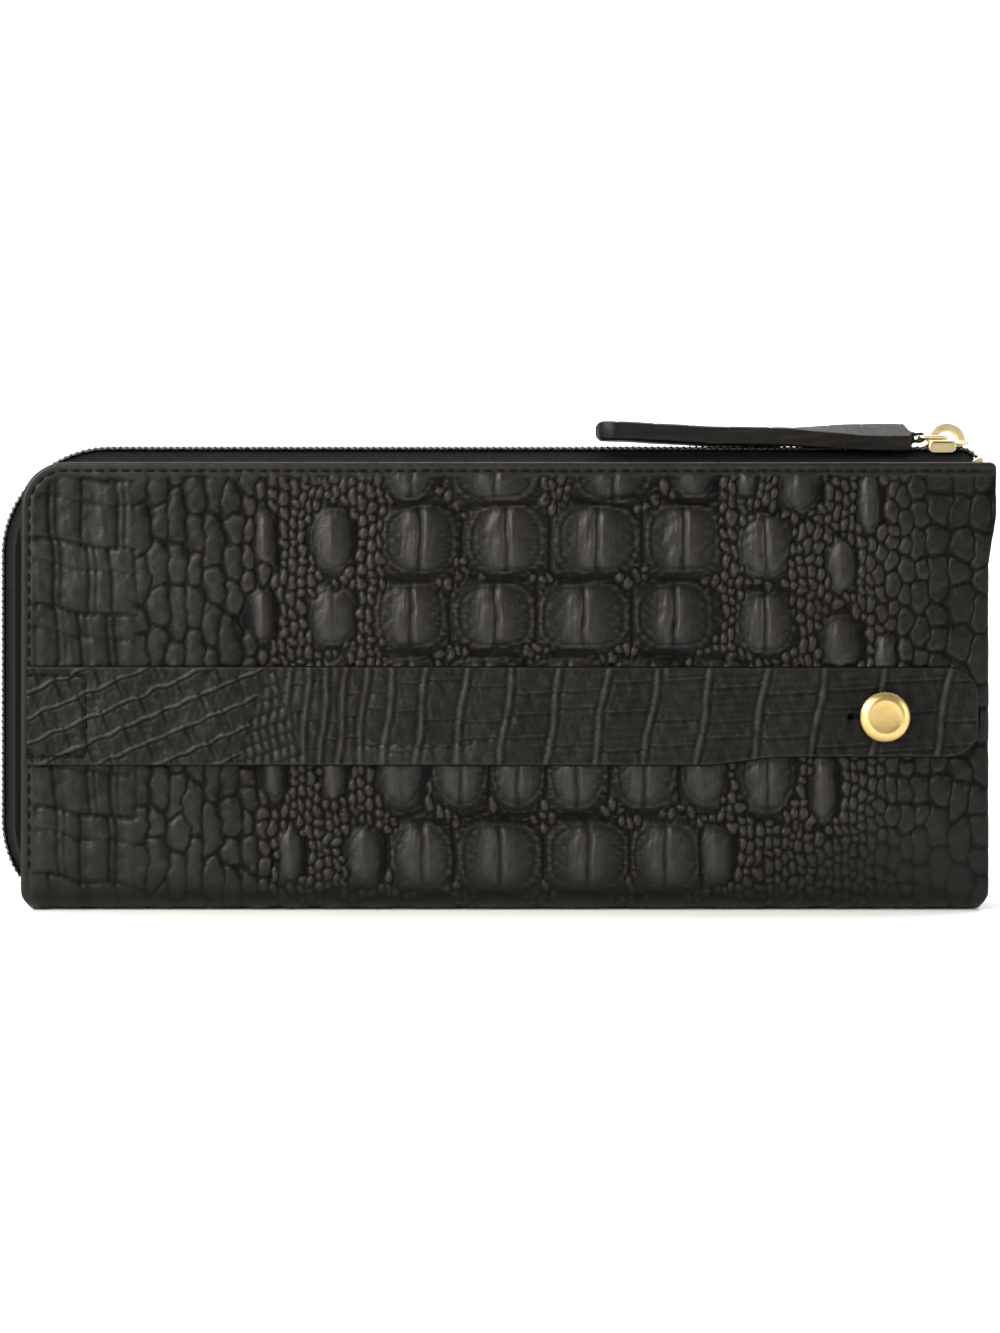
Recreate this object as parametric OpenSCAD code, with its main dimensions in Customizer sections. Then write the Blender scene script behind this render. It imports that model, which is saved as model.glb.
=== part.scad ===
// Zip wallet with a snap strap, standing on its folded spine.
// +X runs along the wallet, the front cover faces -Y and +Z is up.
// The origin is the centre of the flat strip under the spine.

/* [Wallet] */
// Length of the leather covers
wallet_l = 215; // [205:1:225]
// Height of the leather covers
wallet_h = 99; // [95:1:105]
// Depth over both leather covers
wallet_d = 24; // [24:1:28]

/* [Leather] */
// Thickness of the cover leather
leather_t = 1.6; // [1.2:0.1:1.8]
// Thickness of the stiffener boards
board_t = 0.8; // [0.5:0.1:0.9]
// Thickness of the lining
lining_t = 0.5; // [0.4:0.1:0.5]
// Radius of the top left corner of the leather
corner_r = 10; // [8:0.5:12]
// Radius of the folds along the spine
fold_r = 6; // [5:0.5:7]
// Height of the spine strip
spine_h = 8; // [7:0.5:9]

/* [Zip] */
// Radius of the zip round the corners
zip_r = 24.5; // [23:0.5:25]
// Half width of the closed coil
coil_half_w = 2.2; // [2:0.1:2.4]
// Height of the coil
coil_h = 1.4; // [1.2:0.1:1.5]

/* [Strap] */
// Width of the strap at its sewn end
strap_w = 22; // [20:0.5:24]
// Width of the strap at its free end
strap_end_w = 19.9; // [18:0.1:20]
// Diameter of the stud head
stud_d = 11.1; // [10:0.1:12]

/* [Pull] */
// Length of the leather pull tab
tab_l = 74; // [60:1:76]
// Width of the leather pull tab
tab_w = 9; // [7:0.5:9]
// Thickness of the leather pull tab
tab_t = 4; // [3.4:0.1:4.2]

/* [Hidden] */
$fn = 48;

leather = [0.16, 0.15, 0.14];
lining = [0.12, 0.12, 0.13];
black = [0.05, 0.05, 0.05];
gold = [0.85, 0.75, 0.52];
brass = [0.80, 0.66, 0.36];

left_x = -wallet_l / 2;
right_x = wallet_l / 2;
half_d = wallet_d / 2;
board_y = half_d - leather_t;
lining_y = board_y - board_t;
pocket_y = lining_y - lining_t;
// the right edge steps in a little below the top corner
taper_top_z = wallet_h - 10.5;
taper_z = wallet_h - 24;
taper_in = 1.7;

// outer line of the closed zip
zip_top = wallet_h + 4.2;
zip_left = left_x - 6.4;
zip_cx = zip_left + zip_r;
zip_top_cz = zip_top - zip_r;
zip_low_cz = 19.5;
zip_low_turn = 34;
zip_end_r = 5.5;
zip_end_x = 101;
zip_end_turn = 58;
stop_turn = 12;
tape_t = 0.5;
// how far the tape lies inside the outer line, at its knee and at its sewn edge
tape_knee = 5.6;
tape_edge = 12;
coil_gap = 0.45;

// coin pocket leaf, in the middle of the wallet
coin_front_y = -3.5;
coin_back_y = 2.3;
coin_wall_t = 0.6;
coin_z0 = 8.5;
coin_z1 = 84;
coin_x0 = -100;
coin_x1 = 86;
coin_mid_y = (coin_front_y + coin_back_y) / 2;
coin_coil_z = 90;

// sewn end and swinging part of the strap
strap_t = 1.4;
strap_x0 = -105.8;
strap_hinge_x = -92.2;
strap_x1 = 103.2;
strap_z = 43.2;
strap_end_z = 44;
strap_y1 = half_d + strap_t;
stud_x = 82.5;
stud_z = 43;
stud_face_d = 7.3;
stud_h = 1.8;
post_d = 4;
washer_d = 9;
washer_t = 0.6;
slit_l = 7.3;

// slider, ring and tab on top of the zip
slider_x0 = 94;
slider_x1 = 103;
slider_half = 3.5;
flange_l = 6;
flange_h = 1.8;
plate_z = zip_top + 0.3;
plate_t = 0.8;
plate_top = plate_z + plate_t;
low_plate_z = zip_top - 4.1;
bridge_x = 98.4;
bridge_r = 4.3;
bridge_band = 1.9;
ring_z = plate_top + 0.75;
ring_x0 = 92.4;
ring_x1 = 98.2;
ring_half = 2.4;
ring_wire = 0.5;
tab_x1 = 91.3;
tab_z0 = zip_top + 0.1;

// 2D outline of a cover, seen from the front; inset shrinks it on every side
module cover_outline(inset, z0) {
    r = corner_r - inset;
    difference() {
        polygon([
            [left_x + inset, z0],
            [left_x + inset, wallet_h - inset],
            [right_x - inset, wallet_h - inset],
            [right_x - inset, taper_top_z],
            [right_x - taper_in - inset, taper_z],
            [right_x - taper_in - inset, z0]
        ]);
        translate([left_x + inset, wallet_h - inset]) corner_cut(r);
    }
}

// the waste outside a round top left corner
module corner_cut(r) {
    difference() {
        translate([-1, -r]) square(r + 1);
        translate([r, -r]) circle(r, $fn = 96);
    }
}

// stands a front-view outline up, from y0 towards +Y
module standing(y0, t) {
    translate([0, y0 + t, 0]) rotate([90, 0, 0]) linear_extrude(t) children();
}

module front_panel() {
    color(leather) standing(-half_d, leather_t) difference() {
        cover_outline(0, spine_h);
        translate([stud_x, stud_z]) circle(d = post_d + 0.2);
    }
}

module back_panel() {
    color(leather) standing(half_d - leather_t, leather_t) cover_outline(0, spine_h);
}

// outline of the spine across the wallet; inset shrinks it inwards
module spine_outline(inset, top) {
    r = fold_r - inset;
    w = half_d - inset;
    for (s = [-1, 1])
        translate([s * (w - r), fold_r]) circle(r, $fn = 96);
    translate([r - w, inset]) square([2 * (w - r), top - inset]);
    translate([-w, fold_r]) square([2 * w, top - fold_r]);
}

// extrudes a cross-section, drawn as Y and Z, along X
module along_x(x0, l) {
    translate([x0, 0, 0]) rotate([90, 0, 90]) linear_extrude(l) children();
}

module spine() {
    color(leather) along_x(left_x, wallet_l - taper_in) intersection() {
        difference() {
            spine_outline(0, spine_h + 4);
            spine_outline(leather_t, spine_h + 5);
        }
        translate([-half_d, 0]) square([wallet_d, spine_h]);
    }
}

module front_board() {
    color("dimgray") standing(-board_y, board_t) difference() {
        board_outline();
        translate([stud_x, stud_z]) circle(d = washer_d + 0.6);
    }
}

module back_board() {
    color("dimgray") standing(board_y - board_t, board_t) board_outline();
}

module board_outline() {
    translate([left_x + 14.5, spine_h + 1.5]) square([wallet_l - 19.1, wallet_h - spine_h - 10]);
}

// the lining stays inside the sloping tape, so its left corners follow the zip's
module lining_outline() {
    r = zip_r - tape_knee - 0.2;
    difference() {
        cover_outline(2, spine_h + 1.5);
        translate([zip_cx - r, zip_top_cz + r]) corner_cut(r);
        translate([zip_cx - r, zip_low_cz - r]) mirror([0, 1]) corner_cut(r);
    }
}

module front_lining() {
    color(lining) standing(-lining_y, lining_t) lining_outline();
}

module back_lining() {
    color(lining) standing(lining_y - lining_t, lining_t) lining_outline();
}

// open pocket on the front lining
module slip_pocket() {
    color(lining) standing(-pocket_y, lining_t)
        translate([coin_x0, spine_h + 4]) square([coin_x1 - coin_x0, 66]);
}

// card rows on the back lining, each lower and nearer the middle than the last
module card_row(n) {
    row_top = 96 - 8 * n;
    color(lining) standing(pocket_y - lining_t * n, lining_t)
        translate([coin_x0, spine_h + 4]) square([coin_x1 - coin_x0, row_top - spine_h - 4]);
}

// one pleated sheet that closes the right side: two folds in, one fold out
module right_gusset() {
    x_out = right_x - 4.5;
    x_in = x_out - 15;
    y_end = pocket_y - 0.3;
    t = 1.6;
    color(lining) intersection() {
        translate([0, 0, 1]) linear_extrude(wallet_h - 8) polygon([
            [x_out, -y_end], [x_in, -y_end / 2], [x_out, 0], [x_in, y_end / 2], [x_out, y_end],
            [x_out + t, y_end], [x_in + t, y_end / 2], [x_out + t, 0],
            [x_in + t, -y_end / 2], [x_out + t, -y_end]
        ]);
        along_x(x_in - 5, 40) spine_outline(leather_t + 0.3, wallet_h);
    }
}

// half of the zip tape in section: x is the distance inside the outer line of the zip
module tape_section(edge) {
    intersection() {
        polygon([
            [coil_h + 0.1, 1.2], [tape_knee, 9.9], [tape_edge, 9.9], [tape_edge, 9.9 + tape_t],
            [tape_knee - 0.25, 9.9 + tape_t], [coil_h + 0.1, 2.1]
        ]);
        square([edge, 20]);
    }
}

module coil_section() {
    translate([0, coil_gap]) square([coil_h, coil_half_w - coil_gap]);
}

module stop_section() {
    translate([-0.2, 0.3]) square([coil_h + 0.4, coil_half_w]);
}

// turns a section round a corner of the zip, from one angle of the front view to another
module round_corner(x, z, r, from, turn) {
    translate([x, 0, z]) rotate([90, 0, 0]) rotate([0, 0, from])
        rotate_extrude(angle = turn, $fn = 96) translate([r, 0]) rotate(180) children();
}

// the same at the right end, with the angles counted the other way round
module end_corner(from, turn) {
    translate([zip_end_x, 0, 0]) mirror([1, 0, 0])
        round_corner(0, zip_top - zip_end_r, zip_end_r, from, turn) children();
}

// sweeps a half section along the whole zip line, on the side of +Y
module along_zip() {
    translate([zip_cx, 0, zip_top]) rotate([0, 90, 0]) linear_extrude(zip_end_x - zip_cx) children(0);
    translate([zip_left, 0, zip_low_cz]) linear_extrude(zip_top_cz - zip_low_cz) children(0);
    round_corner(zip_cx, zip_top_cz, zip_r, 90, 90) children(0);
    round_corner(zip_cx, zip_low_cz, zip_r, 180, zip_low_turn) children(0);
    end_corner(90, zip_end_turn) children(1);
}

module tape_side() {
    color(black) along_zip() {
        tape_section(tape_edge);
        tape_section(zip_end_r - 0.2);
    }
}

module coil_side() {
    color(black) along_zip() {
        coil_section();
        coil_section();
    }
}

module zip_tape_back() {
    tape_side();
}

module zip_tape_front() {
    mirror([0, 1, 0]) tape_side();
}

module zip_coil_back() {
    coil_side();
}

module zip_coil_front() {
    mirror([0, 1, 0]) coil_side();
}

// crimped end piece of one side, past the last turn of its coil
module top_stop() {
    color(gold) end_corner(91 + zip_end_turn, stop_turn) stop_section();
}

module zip_top_stop_back() {
    top_stop();
}

module zip_top_stop_front() {
    mirror([0, 1, 0]) top_stop();
}

// one clip over both sides, below the low left corner
module zip_bottom_stop() {
    color(gold) round_corner(zip_cx, zip_low_cz, zip_r, 181 + zip_low_turn, 4)
        translate([-0.2, -coil_half_w - 0.2]) square([coil_h + 0.4, 2 * coil_half_w + 0.4]);
}

module zip_slider() {
    color(gold) {
        // upper plate with its two side flanges
        translate([slider_x0, -slider_half, plate_z]) cube([slider_x1 - slider_x0, 2 * slider_half, plate_t]);
        for (s = [0, 1]) mirror([0, s, 0])
            translate([slider_x0, slider_half - 1, plate_z - flange_h]) cube([flange_l, 1, flange_h]);
        // lower plate and the web that joins the plates
        translate([slider_x0, 0.1 - slider_half, low_plate_z])
            cube([slider_x1 - slider_x0 - 0.4, 2 * slider_half - 0.2, plate_t]);
        translate([slider_x1 - 2, -0.2, low_plate_z + 0.1]) cube([1.4, 0.4, plate_z - low_plate_z]);
        // arch that holds the ring
        standing(-1, 2) intersection() {
            translate([bridge_x, plate_top - 0.2]) difference() {
                circle(bridge_r, $fn = 96);
                circle(bridge_r - bridge_band, $fn = 96);
            }
            translate([bridge_x - 10, plate_top - 0.1]) square([20, 10]);
        }
    }
}

// rectangular ring: a round bar at each end, joined by two side bars
module pull_ring() {
    color(gold) {
        for (x = [ring_x0, ring_x1])
            translate([x, -ring_half, ring_z]) rotate([-90, 0, 0])
                cylinder(h = 2 * ring_half, r = ring_wire);
        for (s = [-1, 1])
            translate([ring_x0 - ring_wire, s * ring_half - ring_wire, ring_z - ring_wire])
                cube([ring_x1 - ring_x0 + 2 * ring_wire, 2 * ring_wire, 2 * ring_wire]);
    }
}

// flat strip with a round far end and a narrow loop round the ring's outer bar
module pull_tab() {
    x0 = tab_x1 - tab_l + 2.3;
    loop_half = 1.7;
    color(leather) {
        translate([0, 0, tab_z0]) linear_extrude(tab_t) {
            translate([x0 + tab_w / 2, -tab_w / 2]) square([tab_x1 - x0 - tab_w / 2, tab_w]);
            translate([x0 + tab_w / 2, 0]) circle(tab_w / 2);
        }
        standing(-loop_half, 2 * loop_half) difference() {
            union() {
                translate([ring_x0, ring_z]) circle(1.15);
                translate([tab_x1 - 0.2, ring_z - 1.15]) square([ring_x0 - tab_x1 + 0.2, 2.3]);
            }
            translate([ring_x0, ring_z]) circle(ring_wire + 0.2);
        }
    }
}

// sewn end of the strap, under the box of stitches
module strap_anchor() {
    color(leather) standing(-strap_y1, strap_t)
        translate([strap_x0, strap_z - strap_w / 2]) square([strap_hinge_x - strap_x0, strap_w]);
}

// front view of the free part of the strap: it narrows past the middle and has a round end
module strap_outline() {
    r = 6.6;
    low = strap_end_z - strap_end_w / 2;
    high = strap_end_z + strap_end_w / 2;
    difference() {
        polygon([
            [strap_hinge_x + 0.1, strap_z - strap_w / 2], [strap_hinge_x + 0.1, strap_z + strap_w / 2],
            [strap_x1, high], [strap_x1, low], [60, low], [42, strap_z - strap_w / 2]
        ]);
        // round end
        translate([strap_x1, high]) mirror([1, 0]) corner_cut(r);
        translate([strap_x1, low]) rotate(180) corner_cut(r);
        // keyhole for the stud's post
        translate([stud_x, stud_z]) circle(d = post_d + 0.6);
        translate([stud_x - slit_l, stud_z - 0.3]) square([slit_l, 0.6]);
        translate([stud_x - slit_l, stud_z]) circle(0.8);
    }
}

module strap() {
    color(leather) standing(-strap_y1, strap_t) strap_outline();
}

// a row of flat stitches on a face: pitch is the distance from one stitch to the next
stitch_pitch = 2.75;
stitch_l = 1.9;
stitch_w = 0.5;
stitch_h = 0.2;

module stitch_row(x, z, l, upright, y0) {
    for (i = [0 : floor(l / stitch_pitch) - 1]) {
        step = i * stitch_pitch;
        if (upright)
            translate([x - stitch_w / 2, y0, z + step]) cube([stitch_w, stitch_h, stitch_l]);
        else
            translate([x + step, y0, z - stitch_w / 2]) cube([stitch_l, stitch_h, stitch_w]);
    }
}

module cover_stitches(y0) {
    color(black) {
        stitch_row(left_x + corner_r, wallet_h - 2, wallet_l - corner_r - 3, false, y0);
        stitch_row(left_x + 1.9, spine_h + 2, strap_z - strap_w / 2 - spine_h - 2, true, y0);
        stitch_row(left_x + 1.2, strap_z + strap_w / 2 + 0.6, 33, true, y0);
    }
}

module front_stitches() {
    cover_stitches(-half_d - stitch_h);
}

module back_stitches() {
    cover_stitches(half_d);
}

module strap_stitches() {
    y0 = -strap_y1 - stitch_h;
    w = 13.2;
    h = 17.6;
    color(black) {
        stitch_row(strap_x0 + 0.5, strap_z - h / 2, w, false, y0);
        stitch_row(strap_x0 + 0.5, strap_z + h / 2, w, false, y0);
        stitch_row(strap_hinge_x - 1.7, strap_z - h / 2 + 0.6, h - 0.4, true, y0);
    }
}

// a round piece on the stud's axis: its outline is drawn as radius and distance from y0 to -Y
module on_stud(y0) {
    translate([stud_x, y0, stud_z]) rotate([90, 0, 0]) rotate_extrude($fn = 96) children();
}

module stud_head() {
    color(brass) on_stud(-strap_y1 - 0.3) polygon([
        [0, 0], [stud_d / 2 - 0.4, 0], [stud_d / 2, 0.4], [stud_d / 2, 0.8],
        [stud_face_d / 2, stud_h], [0, stud_h]
    ]);
}

module stud_post() {
    color(brass) on_stud(-board_y + washer_t) square([post_d / 2, strap_y1 + 0.3 - board_y + washer_t]);
}

module stud_washer() {
    color(brass) on_stud(-board_y + washer_t) translate([post_d / 2, 0])
        square([(washer_d - post_d) / 2, washer_t]);
}

// coin pocket: two walls with a folded strip between them at the bottom and the ends
module coin_wall(y0) {
    color(lining) standing(y0, coin_wall_t)
        translate([coin_x0, coin_z0]) square([coin_x1 - coin_x0, coin_z1 - coin_z0]);
}

module coin_front_wall() {
    coin_wall(coin_front_y);
}

module coin_back_wall() {
    coin_wall(coin_back_y - coin_wall_t);
}

module coin_edge_fold() {
    y0 = coin_front_y + coin_wall_t;
    depth = coin_back_y - coin_front_y - 2 * coin_wall_t;
    t = 0.6;
    color(lining) {
        translate([coin_x0, y0, coin_z0]) cube([coin_x1 - coin_x0, depth, t]);
        for (x = [coin_x0, coin_x1 - t])
            translate([x, y0, coin_z0]) cube([t, depth, coin_z1 - coin_z0]);
        // hem that is sewn to the spine
        translate([coin_x0, coin_mid_y - t / 2, leather_t + 0.4])
            cube([coin_x1 - coin_x0, t, coin_z0 - leather_t - 0.3]);
    }
}

// the coin pocket's own tapes lean together over its mouth
module coin_tape() {
    half = (coin_back_y - coin_front_y) / 2 - coin_wall_t;
    color(black) along_x(coin_x0 + 1, coin_x1 - coin_x0 - 2) translate([coin_mid_y, 0]) polygon([
        [half - 0.5, coin_z1 - 5], [half, coin_z1 - 5], [half, coin_z1], [1.8, coin_coil_z],
        [1, coin_coil_z], [1, coin_coil_z - 0.6], [half - 0.5, coin_z1 - 0.3]
    ]);
}

module coin_zip_tape_back() {
    coin_tape();
}

module coin_zip_tape_front() {
    translate([0, 2 * coin_mid_y, 0]) mirror([0, 1, 0]) coin_tape();
}

module coin_zip_coil() {
    color(black) along_x(coin_x0 + 1, coin_x1 - coin_x0 - 2)
        translate([coin_mid_y - 1.5, coin_coil_z]) square([3, 1]);
}

module coin_slider() {
    x0 = 74;
    color(gold) difference() {
        translate([x0, coin_mid_y - 2.9, coin_coil_z - 0.4]) cube([7, 5.8, 2.4]);
        translate([x0 - 1, coin_mid_y - 2.1, coin_coil_z - 0.5]) cube([9, 4.2, 1.8]);
    }
    color(gold) for (s = [-1, 1])
        translate([x0 + 1, coin_mid_y + s * 1.4 - 0.4, coin_coil_z + 2]) cube([3, 0.8, 2]);
}

// flat metal puller on a pin between the slider's two lugs
module coin_puller() {
    px = 76.5;
    pz = coin_coil_z + 3;
    color(gold) {
        translate([px, coin_mid_y - 0.8, pz]) rotate([-90, 0, 0]) cylinder(h = 1.6, r = 0.5);
        translate([px - 16, coin_mid_y - 0.8, pz - 0.4]) cube([16, 1.6, 0.8]);
    }
}

front_panel();
back_panel();
spine();
front_board();
back_board();
front_lining();
back_lining();
right_gusset();
slip_pocket();
card_row(1);  // card_row_1
card_row(2);  // card_row_2
card_row(3);  // card_row_3
card_row(4);  // card_row_4
zip_tape_front();
zip_tape_back();
zip_coil_front();
zip_coil_back();
zip_bottom_stop();
zip_top_stop_front();
zip_top_stop_back();
zip_slider();
pull_ring();
pull_tab();
strap_anchor();
strap();
strap_stitches();
front_stitches();
back_stitches();
stud_head();
stud_post();
stud_washer();
coin_front_wall();
coin_back_wall();
coin_edge_fold();
coin_zip_tape_front();
coin_zip_tape_back();
coin_zip_coil();
coin_slider();
coin_puller();
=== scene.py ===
"""Zip wallet with a snap strap: leather, zip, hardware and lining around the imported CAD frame."""

import math

import bpy
import numpy as np
from mathutils import Matrix, Vector


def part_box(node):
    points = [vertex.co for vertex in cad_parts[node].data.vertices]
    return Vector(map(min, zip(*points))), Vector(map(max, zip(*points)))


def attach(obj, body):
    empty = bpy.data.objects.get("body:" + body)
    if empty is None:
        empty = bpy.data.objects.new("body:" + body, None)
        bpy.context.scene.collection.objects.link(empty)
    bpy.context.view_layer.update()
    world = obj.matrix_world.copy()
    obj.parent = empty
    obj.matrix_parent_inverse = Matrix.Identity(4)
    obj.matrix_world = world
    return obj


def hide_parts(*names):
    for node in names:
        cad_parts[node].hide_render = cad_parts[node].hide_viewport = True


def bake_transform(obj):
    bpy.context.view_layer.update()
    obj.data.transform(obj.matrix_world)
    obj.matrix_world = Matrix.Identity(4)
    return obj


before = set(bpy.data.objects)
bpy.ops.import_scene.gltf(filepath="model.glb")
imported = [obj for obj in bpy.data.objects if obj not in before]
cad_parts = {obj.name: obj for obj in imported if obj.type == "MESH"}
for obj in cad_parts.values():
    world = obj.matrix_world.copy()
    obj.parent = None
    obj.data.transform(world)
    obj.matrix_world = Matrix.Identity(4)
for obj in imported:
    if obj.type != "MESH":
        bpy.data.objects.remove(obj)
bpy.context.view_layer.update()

MM = 0.001


def node_box(node):
    """Lowest and highest corners of a CAD node, in millimetres."""
    low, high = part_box(node)
    return [v / MM for v in low], [v / MM for v in high]


# ---------------------------------------------------------------- sizes, in millimetres
PANEL_LOW, PANEL_HIGH = node_box("front_panel")
_, BACK_HIGH = node_box("back_panel")
STRAP_LOW, STRAP_HIGH = node_box("strap")
ANCHOR_LOW, ANCHOR_HIGH = node_box("strap_anchor")
COIL_LOW, COIL_HIGH = node_box("zip_coil_back")
SLIDER_LOW, SLIDER_HIGH = node_box("zip_slider")
RING_LOW, RING_HIGH = node_box("pull_ring")
TAB_LOW, TAB_HIGH = node_box("pull_tab")
STUD_LOW, STUD_HIGH = node_box("stud_head")

LEFT, RIGHT = PANEL_LOW[0], PANEL_HIGH[0]
TOP, FOLD_Z = PANEL_HIGH[2], PANEL_LOW[2]
FRONT_Y, BACK_Y = PANEL_LOW[1], BACK_HIGH[1]
LEATHER_T = PANEL_HIGH[1] - PANEL_LOW[1]
CORNER_R = 10.0
TAPER_TOP = TOP - 10.5
TAPER_LOW = TOP - 24.0
TAPER_IN = 1.7
FOLD_R = 6.0
STITCH_IN = 1.9
STITCH_PITCH = 2.75
STITCH_SINK = 0.02
ZIP_R = 24.5
ZIP_LEFT, ZIP_TOP = COIL_LOW[0], COIL_HIGH[2]
ZIP_CX = ZIP_LEFT + ZIP_R
ZIP_TOP_CZ = ZIP_TOP - ZIP_R
ZIP_LOW_CZ = 19.5
ZIP_LOW_TURN = 34.0
ZIP_END_X, ZIP_END_R, ZIP_END_TURN = 101.0, 5.5, 58.0
COIL_H = 1.4
COIL_HALF = COIL_HIGH[1]
TOOTH_PITCH = 1.42
STUD_X = (STUD_LOW[0] + STUD_HIGH[0]) / 2
STUD_Z = (STUD_LOW[2] + STUD_HIGH[2]) / 2
STUD_R = (STUD_HIGH[0] - STUD_LOW[0]) / 2

rng = np.random.default_rng(11)


# ---------------------------------------------------------------- small tools
def smooth(t):
    """Smooth step from 0 to 1."""
    t = np.clip(t, 0.0, 1.0)
    return t * t * (3.0 - 2.0 * t)


def bell(t):
    return np.exp(-t * t)


def waves(x, z, wavelength, seed, count=7):
    """Smooth noise of about unit height: a sum of plane waves in random directions."""
    dice = np.random.default_rng(seed)
    total = 0.0
    for _ in range(count):
        angle = dice.uniform(0, math.tau)
        k = math.tau / (wavelength * dice.uniform(0.7, 1.5))
        total = total + np.cos(k * (x * math.cos(angle) + z * math.sin(angle)) + dice.uniform(0, math.tau))
    return total / math.sqrt(count)


def blur(field, reach):
    """Box blur, twice, over reach samples each way."""
    kernel = np.ones(2 * reach + 1) / (2 * reach + 1)
    for _ in range(2):
        for axis in (0, 1):
            pad = [(reach, reach) if a == axis else (0, 0) for a in (0, 1)]
            padded = np.pad(field, pad, mode="edge")
            field = np.apply_along_axis(lambda v: np.convolve(v, kernel, mode="valid"), axis, padded)
    return field


def new_object(name, points, faces, material, flat=(), attributes=None):
    """A mesh object from points in millimetres. flat lists the faces that stay flat shaded."""
    mesh = bpy.data.meshes.new(name)
    mesh.from_pydata((np.asarray(points, float) * MM).tolist(), [], faces)
    shade = np.ones(len(mesh.polygons), bool)
    shade[list(flat)] = False
    mesh.polygons.foreach_set("use_smooth", shade)
    sharp = np.zeros(len(mesh.edges), bool)
    for k in flat:
        face = mesh.polygons[k]
        sharp[[mesh.loops[i].edge_index for i in face.loop_indices]] = True
    mesh.attributes.new("sharp_edge", "BOOLEAN", "EDGE").data.foreach_set("value", sharp)
    for key, values in (attributes or {}).items():
        layer = mesh.attributes.new(key, "FLOAT", "POINT")
        layer.data.foreach_set("value", np.asarray(values, np.float32))
    mesh.update()
    piece = bpy.data.objects.new(name, mesh)
    bpy.context.scene.collection.objects.link(piece)
    mesh.materials.append(material)
    return piece


def grid_faces(rows, cols, start=0, flip=False):
    """Quads over a grid of rows by cols points."""
    r, c = np.meshgrid(np.arange(rows - 1), np.arange(cols - 1), indexing="ij")
    a = start + r * cols + c
    quads = np.stack([a, a + 1, a + cols + 1, a + cols], -1).reshape(-1, 4)
    return (quads[:, ::-1] if flip else quads).tolist()


def boundary(index):
    """Numbers of the outermost points of a grid, once round."""
    return np.concatenate([index[0, :-1], index[:-1, -1], index[-1, :0:-1], index[:0:-1, 0]])


def tube(path, radius, sides, closed=False, frames=None):
    """Points and faces of a round tube along a path in millimetres, with flat caps."""
    path = np.asarray(path, float)
    n = len(path)
    tangent = np.gradient(path, axis=0)
    if closed:
        tangent = np.roll(path, -1, 0) - np.roll(path, 1, 0)
    tangent /= np.linalg.norm(tangent, axis=1)[:, None]
    up = np.array(frames if frames is not None else [0.0, 0.0, 1.0], float)
    side = np.cross(tangent, up)
    weak = np.linalg.norm(side, axis=1) < 1e-3
    side[weak] = np.cross(tangent[weak], [0.3, 1.0, 0.2])
    side /= np.linalg.norm(side, axis=1)[:, None]
    other = np.cross(side, tangent)
    angle = np.arange(sides) * math.tau / sides
    ring = np.cos(angle)[None, :, None] * side[:, None, :] + np.sin(angle)[None, :, None] * other[:, None, :]
    points = (path[:, None, :] + radius * ring).reshape(-1, 3)
    faces = []
    for i in range(n if closed else n - 1):
        j = (i + 1) % n
        for k in range(sides):
            m = (k + 1) % sides
            faces.append([i * sides + k, j * sides + k, j * sides + m, i * sides + m])
    if not closed:
        faces.append(list(range(sides)))
        faces.append([(n - 1) * sides + k for k in reversed(range(sides))])
    return points, faces


def join_parts(parts):
    """One list of points and faces from several."""
    points, faces, start = [], [], 0
    for p, f in parts:
        points.append(np.asarray(p, float))
        faces += [[i + start for i in face] for face in f]
        start += len(p)
    return np.concatenate(points), faces


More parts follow.
